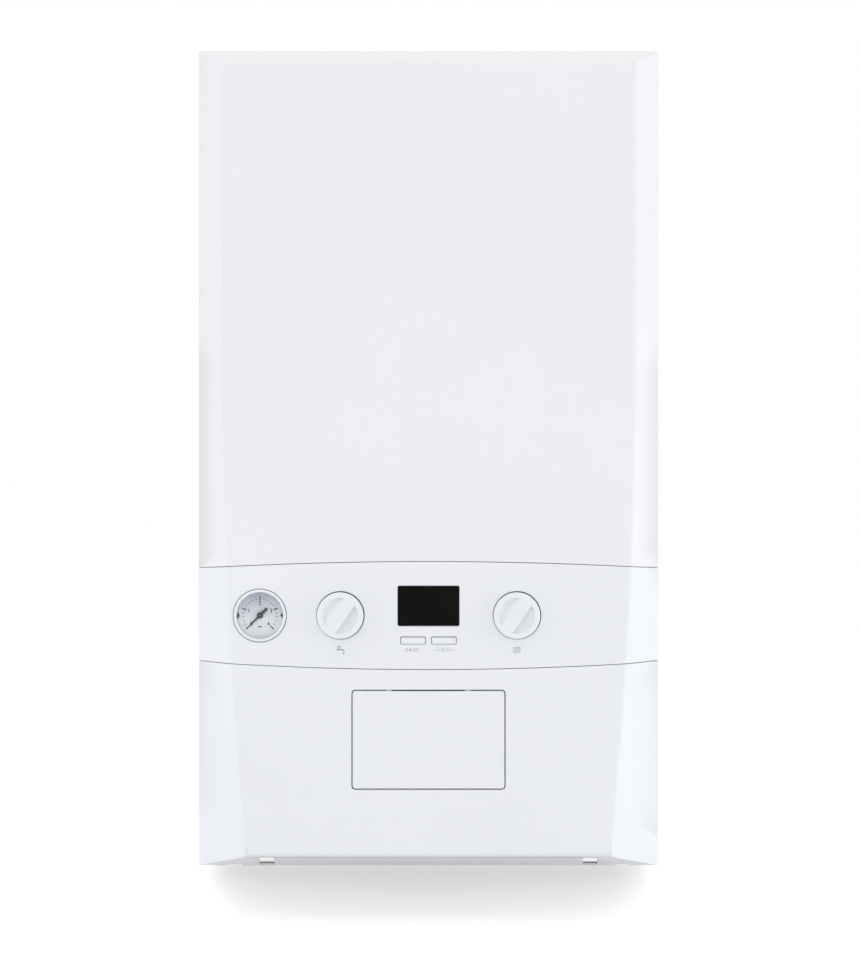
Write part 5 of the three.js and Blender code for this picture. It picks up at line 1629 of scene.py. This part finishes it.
def fan_motor():
    """A ribbed can with a socket on its back."""
    x, y, base = FAN_X, FAN_Y, FAN_TOP + 3 + TOUCH
    can = turned(
        "z", x, y,
        [
            (0, base + 1), (8, base + 1), (8, base), (31, base), (31, base + 30), (30, base + 33),
            (27, base + 36), (12, base + 38), (12, base + 42), (0, base + 42),
        ],
        FINE,
    )
    ribs = [
        moved(box(29.5, 31.8, -1.2, 1.2, base + 3, base + 27), x, y, 0, 360 / 14 * i, "Z")
        for i in range(14)
    ]
    socket = cut(
        box(x - 12, x + 12, y + 28, y + 42, base + 4, base + 22),
        box(x - 10, x + 10, y + 32, y + 43, base + 6, base + 20),
    )
    piece("fan_motor", join(can, *ribs, socket), rim=0.4)


def venturi():
    """The fan's inlet, narrowed where the gas comes in."""
    x, y, throat_top = FAN_X, FAN_Y, FAN_FOOT - TOUCH
    tube_form = turned(
        "z", x, y,
        [
            (20, throat_top), (15.5, 535), (14, 520), (14, 496), (16, 484), (23, 470), (27, 470),
            (27, 474), (22, 482), (19, 498), (19, 515), (20, 532), (23, 548), (29, throat_top - 5),
            (29, throat_top),
        ],
        FINE,
    )
    port = cut(rod("x", y, 502, 9, x + 17, x + 32), rod("x", y, 502, 5, x + 16, x + 40))
    rings = [band("z", x, y, 18, 20.5, z, z + 2, FINE) for z in (508, 514)]
    piece("venturi", join(tube_form, port, *rings), rim=0.4)


def sump():
    """The tray that gathers condensate and leads the flue gas to its duct."""
    left, right, foot, top = -172, ENGINE_RIGHT + 5, 284, ENGINE_FOOT - TOUCH
    x, y = (left + right) / 2, (ENGINE_FRONT + ENGINE_BACK) / 2
    width, depth = right - left, ENGINE_BACK - ENGINE_FRONT

    def level(inward):
        return round_rectangle(x, y, width - 2 * inward, depth - 2 * inward, 10, 6)

    tray = join(
        loft("z", [(foot, level(10)), (foot + 16, level(2)), (top - 5, level(2))]),
        prism("z", level(0), top - 6, top),
    )
    hollow = loft("z", [(foot + 3, level(13)), (foot + 17, level(5)), (top - 4, level(5))])
    tray = cut(
        tray, hollow, box(-92, 50, -196, -110, top - 10, top + 5),
        box(-164, -126, -142, -104, top - 10, top + 5),
    )
    ribs = [
        box(i, i + 3, ENGINE_FRONT + 1, ENGINE_FRONT + 4, foot + 18, top - 5)
        for i in range(-150, 51, 25)
    ]
    spigot = turned("z", *TRAP, [(0, 262), (8.4, 262), (9, 263), (9, foot + 1), (0, foot + 1)], 48)
    piece("sump", cut(join(tray, *ribs, spigot), rod("z", *TRAP, 6, 255, foot + 10)), rim=0.5)


def flue_manifold():
    """The duct that carries flue gas from the sump up the left side and over to the collar."""
    duct = round_rectangle(-145, -123, 54, 54, 10, 6)
    over = round_rectangle(-69, -138, 206, 68, 16, 8)
    outside = join(
        prism("z", duct, ENGINE_FOOT, 660),
        loft(
            "z",
            [
                (620, inset(over, 6)), (630, over), (662, over), (668, inset(over, 3)),
                (672, inset(over, 8)),
            ],
        ),
        rod("z", *FLUE, 33, 665, 684.7, FINE),
        prism("z", inset(duct, -4), ENGINE_FOOT, ENGINE_FOOT + 5),
        *[prism("z", inset(duct, -1.2), z, z + 3) for z in (400, 470, 540, 600)],
    )
    inside = [
        prism("z", inset(duct, 3), ENGINE_FOOT - 5, 650),
        loft(
            "z",
            [
                (623, inset(over, 9)), (632, inset(over, 3)), (660, inset(over, 3)),
                (669, inset(over, 10)),
            ],
        ),
        rod("z", *FLUE, 29, 655, 690, FINE),
    ]
    piece("flue_manifold", cut(outside, *inside), rim=0.6)


def expansion_vessel():
    """A flat vessel: two pressed halves and the rolled seam between them."""
    outline = round_rectangle(0, 500, 300, 330, 60, 16)
    front = [
        (-21, 40), (-22, 30), (-24.5, 20), (-29, 11), (-35, 6), (-42, 4), (-70, 4), (-77, 6),
        (-83, 11), (-87.5, 20), (-90, 30), (-91, 40),
    ]
    shell = loft("y", [(y, inset(outline, inward)) for y, inward in front])
    seam = loft(
        "y",
        [(-59, inset(outline, 0.8)), (-58, outline), (-55, outline), (-54, inset(outline, 0.8))],
    )
    stub = turned("z", -60, -56, [(0, 334), (6, 334), (7, 335), (7, 345), (0, 345)], 32)
    valve = band("y", 60, 560, 0, 5, -92, -89, 32)
    piece("expansion_vessel", join(shell, seam, stub, valve), rim=0.5)


def electrodes():
    """Two ribbed ceramic electrodes, each on a screwed flange."""
    front = ENGINE_FRONT - TOUCH
    for name, x in ELECTRODES:
        body = turned(
            "y", x, ELECTRODE_Z,
            [
                (0, front - 12), (2.5, front - 12), (3.2, front - 11), (4, front - 10),
                (3.3, front - 8.5), (4, front - 7), (3.3, front - 5.5), (4, front - 4), (4, front),
                (1.6, front), (1.6, -184), (0, -184),
            ],
            48,
        )
        flange = prism("y", round_rectangle(x, ELECTRODE_Z, 20, 12, 4, 6), front - 2, front)
        screws = [
            turned(
                "y", x + s * 7, ELECTRODE_Z,
                [(0, front - 3.4), (1.8, front - 3.2), (2, front - 2), (0, front - 2)], 24,
            )
            for s in (-1, 1)
        ]
        piece(name, body, rim=0.15, details=[(flange, STEEL), *[(s, STEEL) for s in screws]])


# ---------------------------------------------------------------- water and gas


def connections():
    """Five pipe tails with union nuts, flanged to the rail."""
    for name, x, diameter, stub in CONNECTIONS:
        tail, seat = diameter / 2, RAIL_Z + 2 + TOUCH
        bore = tail - 1.5
        body = turned(
            "z", x, CONNECTION_Y,
            [
                (0, 30), (bore, 30), (bore, 1), (tail - 0.4, 1), (tail, 1.6), (tail, 17), (13, 17),
                (13, seat), (16, seat), (16, 28.4), (15.4, 29), (10, 29), (10, stub - TOUCH),
                (0, stub - TOUCH),
            ],
            64,
        )
        nut = cut(
            common(
                prism("z", circle(x, CONNECTION_Y, tail + 5, 6), 5, 16),
                turned(
                    "z", x, CONNECTION_Y,
                    [
                        (0, 5), (tail + 3.6, 5), (tail + 5.2, 6.4), (tail + 5.2, 14.6),
                        (tail + 3.6, 16), (0, 16),
                    ],
                    64,
                ),
            ),
            rod("z", x, CONNECTION_Y, tail - 1, 0, 30),
        )
        piece(name, join(body, nut), rim=0.25)


def barrel(axis, u, v, radius, low, high):
    """A moulded boss with softened ends."""
    ease = min(1.2, radius * 0.15, (high - low) / 3)
    return turned(
        axis, u, v,
        [
            (0, low), (radius - ease, low), (radius, low + ease), (radius, high - ease),
            (radius - ease, high), (0, high),
        ],
        48,
    )


def flow_manifold():
    """The flow side's moulded block, with the diverter's actuator on top."""
    y = CONNECTION_Y
    form = join(
        barrel("z", -130, y, 18, 46, 150),
        barrel("z", -65, y, 13, 46, 90),
        rod("x", y, 78, 13, -132, -65),
        *[rod("y", -80, z, 9, y, -60.5) for z in (78, 116)],
        rod("x", y, 116, 9, -132, -80),
        barrel("z", -105, -78, 12, 108, 140),
        box(-125, -93, -90, -70, 104, 118),
        box(-132, -100, y - 8, -82, 106, 116),
        rod("y", -122, 132, 8, y, -52),
        barrel("z", -122, -56, 8, 130, 150),
        barrel("z", -130, y, 22, 138, 150),
        *[band("z", -130, y, 17, 19.6, z, z + 3) for z in (60, 96, 124)],
    )
    piece("flow_manifold", form, rim=0.4)
    head = prism("z", round_rectangle(-130, y - 4, 42, 52, 6), 150 + TOUCH, 192)
    groove = cut(
        prism("z", round_rectangle(-130, y - 4, 46, 56, 7), 170, 171),
        prism("z", round_rectangle(-130, y - 4, 41, 51, 5.6), 169, 172),
    )
    cap = prism("z", round_rectangle(-130, y - 4, 34, 40, 5), 191, 200)
    plug = cut(box(-142, -118, y - 38, y - 29, 158, 172), box(-140, -120, y - 39, y - 33, 160, 170))
    piece("diverter_actuator", join(cut(head, groove), cap, plug), rim=0.6)


def plate_heat_exchanger():
    """A brazed stack of corrugated plates between two end plates."""
    plates, front, back = 14, -60, -20
    step = (back - front) / (2 * plates)

    def edge(level, sign):
        return [
            (front + step * i, level + sign * (1.6 if i % 2 else 0))
            for i in range(2 * plates + 1)
        ]

    stack = prism("x", edge(132, -1)[::-1] + edge(62, 1), -92, 92)
    ends = [prism("y", round_rectangle(0, 97, 186, 72, 8), y, y + 2) for y in (-60, -22)]
    piece("plate_heat_exchanger", join(stack, *ends), rim=0.25)


def pump():
    """The return side's moulded block with the pump, its motor and the air vent."""
    y = CONNECTION_Y
    form = join(
        barrel("y", *PUMP, 40, -124, -90),
        barrel("y", *PUMP, 45, -124, -118),
        barrel("z", 130, y + 2, 16, 46, 130),
        barrel("z", 65, y, 12, 46, 90),
        rod("x", y, 78, 12, 65, 130),
        *[rod("y", 80, z, 9, y, -60.5) for z in (78, 116)],
        rod("x", y + 4, 116, 9, 80, 128),
        rod("x", RELIEF[1], RELIEF[2], 8, 130, RELIEF[0] - 11.3),
        barrel("z", 142, -105, 12, 160, 196),
        barrel("z", 100, -104, 13, 180, 214),
        barrel("z", 100, -104, 8, 213, 222),
        *[band("z", 130, y + 2, 15, 17.6, z, z + 3) for z in (60, 110)],
    )
    piece("pump_housing", form, rim=0.5)

    rear = -124 - TOUCH
    ribs = [(41, -136)]
    for edge in (-141, -150, -159):
        ribs += [(41, edge), (42.4, edge - 0.4), (42.4, edge - 2.6), (41, edge - 3)]
    ribs.append((41, -172))
    motor = turned(
        "y", *PUMP,
        [(0, -178), (34, -178), (38, -176), *ribs[::-1], (45, -133), (45, rear), (0, rear)], FINE,
    )
    terminal = cut(box(76, 100, -170, -140, 186, 200), box(78, 98, -171, -168, 188, 198))
    motor = join(motor, terminal, rod("y", *PUMP, 12, -181, -177))
    motor = cut(motor, box(108, 122, -185, -179.5, 149, 151))
    sockets = [rod("y", *polar(*PUMP, 41, t), 2.4, -136, -130, 24) for t in (45, 135, 225, 315)]
    piece("pump_motor", cut(motor, *sockets), rim=0.5)


def gas_valve():
    """Cast body with its inlet, adjusters, coil and outlet."""
    valve = join(
        prism("y", round_rectangle(*VALVE, 50, 64, 6), -144, -78),
        barrel("z", 0, CONNECTION_Y, 15, 120, 130),
        barrel("y", -4, 138, 10, -156, -143),
        barrel("y", 18, 166, 8, -152, -143),
        box(-14, 26, -140, -96, 183, 196),
        barrel("z", 6, -118, 11, 195, 204),
        *[prism("y", round_rectangle(*VALVE, 51.6, 65.6, 6), y, y + 2) for y in (-128, -108)],
    )
    coil = [(box(-12, 24, -138, -98, 184, 196.8), COMPONENT_BLACK)]
    caps = [
        (turned("y", 18, 166, [(0, -153), (5, -153), (6, -152), (6, -151), (0, -151)], 32), BRASS)
    ]
    piece(
        "gas_valve", cut(valve, box(-4.8, -3.2, -158, -154, 130, 146)), rim=0.6,
        details=coil + caps,
    )


def relief():
    """The safety valve and its fluted cap, which has an arrow on it."""
    x, y, z = RELIEF
    body = join(
        barrel("y", x, z, 11, -126, -88),
        rod("z", x, y, 7.5, 1, z),
        hex_head("z", x, y, 11, 30, 42),
        rod("y", x, z, 5, -132, -125),
    )
    piece("relief_valve", cut(body, rod("z", x, y, 5.5, -5, 24)), rim=0.3)
    points, flutes = 120, []
    for i in range(points):
        radius = 14.2 + 0.8 * cos(20 * pi * i / points)
        flutes.append((radius * cos(2 * pi * i / points), radius * sin(2 * pi * i / points)))
    cap = join(
        loft(
            "y",
            [(-22, inset(flutes, 0.6)), (-21, flutes), (-4.6, flutes), (-4, inset(flutes, 0.5))],
        ),
        loft(
            "y",
            [
                (-24, circle(0, 0, 10, points)), (-23.4, circle(0, 0, 10.8, points)),
                (-21, circle(0, 0, 11.2, points)),
            ],
        ),
    )
    shaft = prism("y", [(-5, -1), (3, -1), (3, 1), (-5, 1)], -24.0, -23.6)
    arrow = join(shaft, prism("y", [(3, -3), (7, 0), (3, 3)], -24.0, -23.6))
    knob_mesh = moved(cut(cap, rod("y", 0, 0, 5 + FIT, -10, 0)), x, -123, z)
    piece("relief_knob", knob_mesh, rim=0.3, details=[(moved(arrow, x, -123, z), COMPONENT_WHITE)])


def condensate_trap():
    """A bottle trap with a gripped cap and a drain that turns down beside it."""
    x, y = TRAP
    profile = [
        (0, 60), (18, 60), (19, 60.6), (20.6, 62), (21, 63), (21, 76), (20.6, 77), (20, 78),
        (20, 110), (20.6, 110.6), (20.6, 113.4), (20, 114), (20, 205), (18.5, 211), (16, 216),
        (12, 221), (8.5, 224), (8.5, 240), (9.3, 241), (9.3, 244), (8.5, 245), (8.5, 261.7),
        (0, 261.7),
    ]
    bottle = turned("z", x, y, profile, FINE)
    grips = [moved(box(20, 22, -1, 1, 63.5, 75.5), x, y, 0, 18 * i, "Z") for i in range(20)]
    outlet = tube(route([(x - 8, y - 4, 190), (*TRAP_OUTLET, 190), (*TRAP_OUTLET, 1)], 12), 8, 48)
    bore = rod("z", *TRAP_OUTLET, 6, -5, 24)
    piece("condensate_trap", cut(join(bottle, outlet, *grips), bore), rim=0.3)


def pipes():
    """Flow, return and gas pipes, and the hose to the expansion vessel."""
    ends = ENGINE_RIGHT + 9 + TOUCH
    flow = route(
        [
            (ends, -120, 480), (98, -120, 480), (98, -120, 245), (98, -78, 245), (-105, -78, 245),
            (-105, -78, 140 + TOUCH),
        ],
        15,
    )
    back = route(
        [(142, -105, 196 + TOUCH), (142, -105, 300), (142, -160, 352), (ends, -160, 352)], 16,
    )
    gas = route(
        [
            (6, -118, 204 + TOUCH), (6, -118, 226), (6, -150, 226), (172, -150, 226),
            (172, -150, 502), (FAN_X + 32 + TOUCH, -150, 502),
        ],
        10,
    )
    hose = route(
        [(-60, -56, 334 - TOUCH), (-60, -56, 180), (-122, -56, 180), (-122, -56, 150 + TOUCH)], 12,
    )
    piece("flow_pipe", tube(flow, 9, 64), rim=0.2)
    piece("return_pipe", tube(back, 9, 64), rim=0.2)
    piece("gas_pipe", tube(gas, 6.5, 48), rim=0.2)
    piece("vessel_hose", tube(hose, 5, 48), rim=0.2)


def inside():
    back_panel()
    top_and_floor()
    pipe_rail()
    hinges()
    flue_collar()
    sealing_panel()
    control_housing()
    main_board()
    display_board()
    heat_exchanger()
    burner()
    burner_hood()
    fan_housing()
    fan_impeller()
    fan_motor()
    venturi()
    sump()
    flue_manifold()
    expansion_vessel()
    electrodes()
    connections()
    flow_manifold()
    plate_heat_exchanger()
    pump()
    gas_valve()
    relief()
    condensate_trap()
    pipes()


# ---------------------------------------------------------------- camera, light and floor

LENS = 195.5  # mm, over a sensor 36 mm high
EYE = (0.0017, -4.772, -0.3134)  # level, 4.5 m in front of the face
DOME_LOW = (0.715, 0.725, 0.76)
DOME_HIGH = (0.82, 0.81, 0.8)
LAMPS = [  # name, place, size, power, colour
    ("key", (-1.2, -2.6, 2.2), (1.6, 1.6), 5, (1.0, 0.985, 0.97)),
    ("front", (0, -3.4, 0.2), (3.0, 1.4), 12, (1.0, 1.0, 1.0)),
    ("top", (0, -0.3, 2.4), (2.0, 1.4), 11, (1.0, 0.98, 0.95)),
    ("left", (-2.1, -0.7, -0.4), (1.2, 0.7), 8, (0.93, 0.96, 1.0)),
    ("right", (2.1, -0.7, -0.4), (1.2, 0.7), 12.5, (0.93, 0.96, 1.0)),
]
WHITE_RAYS = ("Is Camera Ray", "Is Glossy Ray", "Is Transmission Ray")


def seen_rays(tree):
    """1 for rays from the camera, and for those in reflections and glass, else 0."""
    path = add_node(tree, "LightPath")
    total = path.outputs[WHITE_RAYS[0]]
    for name in WHITE_RAYS[1:]:
        sockets = {0: total, 1: path.outputs[name]}
        total = add_node(tree, "Math", sockets, operation="MAXIMUM").outputs[0]
    return total


def camera():
    data = bpy.data.cameras.new("camera")
    data.sensor_fit = "VERTICAL"
    data.sensor_height = 36
    data.lens = LENS
    data.clip_end = 100
    obj = placed("camera", data)
    obj.location = EYE
    obj.rotation_euler = (pi / 2, 0, 0)
    bpy.context.scene.camera = obj


def world():
    """White to the eye; for lighting, a soft grey dome that is warmer and brighter above."""
    scene = bpy.context.scene
    scene.world = bpy.data.worlds.new("studio")
    scene.world.use_nodes = True
    tree = scene.world.node_tree
    tree.nodes.clear()
    place = add_node(tree, "TexCoord").outputs["Generated"]
    height = add_node(tree, "SeparateXYZ", {0: place}).outputs["Z"]
    up = add_node(tree, "MapRange", {"Value": height, "From Min": -1}).outputs["Result"]
    ramp = add_node(tree, "ValToRGB", {"Fac": up})
    for element, color in zip(ramp.color_ramp.elements, (DOME_LOW, DOME_HIGH)):
        element.color = (*color, 1)
    dome = add_node(tree, "Background", {"Color": ramp.outputs["Color"]}).outputs[0]
    white = add_node(tree, "Background", {"Color": (1, 1, 1, 1)}).outputs[0]
    mix = add_node(tree, "MixShader", {0: seen_rays(tree), 1: dome, 2: white}).outputs[0]
    add_node(tree, "OutputWorld", {"Surface": mix})


def lamp(name, place, size, power, color):
    data = bpy.data.lights.new(name, "AREA")
    data.shape = "RECTANGLE"
    data.size, data.size_y = size
    data.energy = power
    data.color = color
    obj = placed(name, data)
    obj.location = place
    target = Vector((0, -0.2, -0.3))
    obj.rotation_euler = (target - Vector(place)).to_track_quat("-Z", "Y").to_euler()
    obj.visible_camera = False
    obj.visible_glossy = False


def floor():
    """A pale floor that rises softly under the object, from low enough for the control
    box to swing down above it to just below the object's foot. Its glow to the eye is painted
    light that grows towards the front, so the object's shadow fades there."""
    side = 7
    low, high = -0.692, -0.646
    start, end = -0.214, 0.06  # where the rise starts and ends, along y
    profile = [(-side, low)]
    for i in range(33):
        s = i / 32
        profile.append((start + (end - start) * s, low + (high - low) * s * s * (3 - 2 * s)))
    profile.append((side, high))
    count = len(profile)
    mesh = bpy.data.meshes.new("floor")
    mesh.from_pydata(
        [(x, y, z) for x in (-side, side) for y, z in profile],
        [],
        [(i, i + count, i + count + 1, i + 1) for i in range(count - 1)],
    )
    for face in mesh.polygons:
        face.use_smooth = True
    material = bpy.data.materials.new("floor")
    material.use_nodes = True
    tree = material.node_tree
    tree.nodes.clear()
    # Painted light: the floor's glow to the eye rises from 0.46 behind y = -0.05 m to 0.74 in front
    # of y = -0.2 m, which lightens the object's shadow towards the front.
    place = add_node(tree, "TexCoord").outputs["Object"]
    depth = add_node(tree, "SeparateXYZ", {0: place}).outputs["Y"]
    spread = {"Value": depth, "From Min": -0.05, "From Max": -0.2, "To Min": 0.46, "To Max": 0.74}
    painted_front_light = add_node(tree, "MapRange", spread).outputs["Result"]
    lift = add_node(tree, "Math", {0: seen_rays(tree), 1: painted_front_light}, operation="MULTIPLY").outputs[0]
    glow = add_node(tree, "Emission", {"Strength": lift}).outputs[0]
    matt = add_node(tree, "BsdfDiffuse", {"Color": (0.8, 0.8, 0.8, 1)}).outputs[0]
    both = add_node(tree, "AddShader", {0: matt, 1: glow}).outputs[0]
    add_node(tree, "OutputMaterial", {"Surface": both})
    mesh.materials.append(material)
    obj = placed("floor", mesh)
    obj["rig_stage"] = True


def studio():
    bpy.context.scene.view_settings.view_transform = "Standard"
    world()
    floor()
    for name, place, size, power, color in LAMPS:
        lamp(name, place, size, power, color)


camera()
studio()
front_panel()
controls()
inside()

replaced = {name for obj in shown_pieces() for name in obj.get("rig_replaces", [])}
for name in sorted(set(NODES) - replaced):
    dress(name)
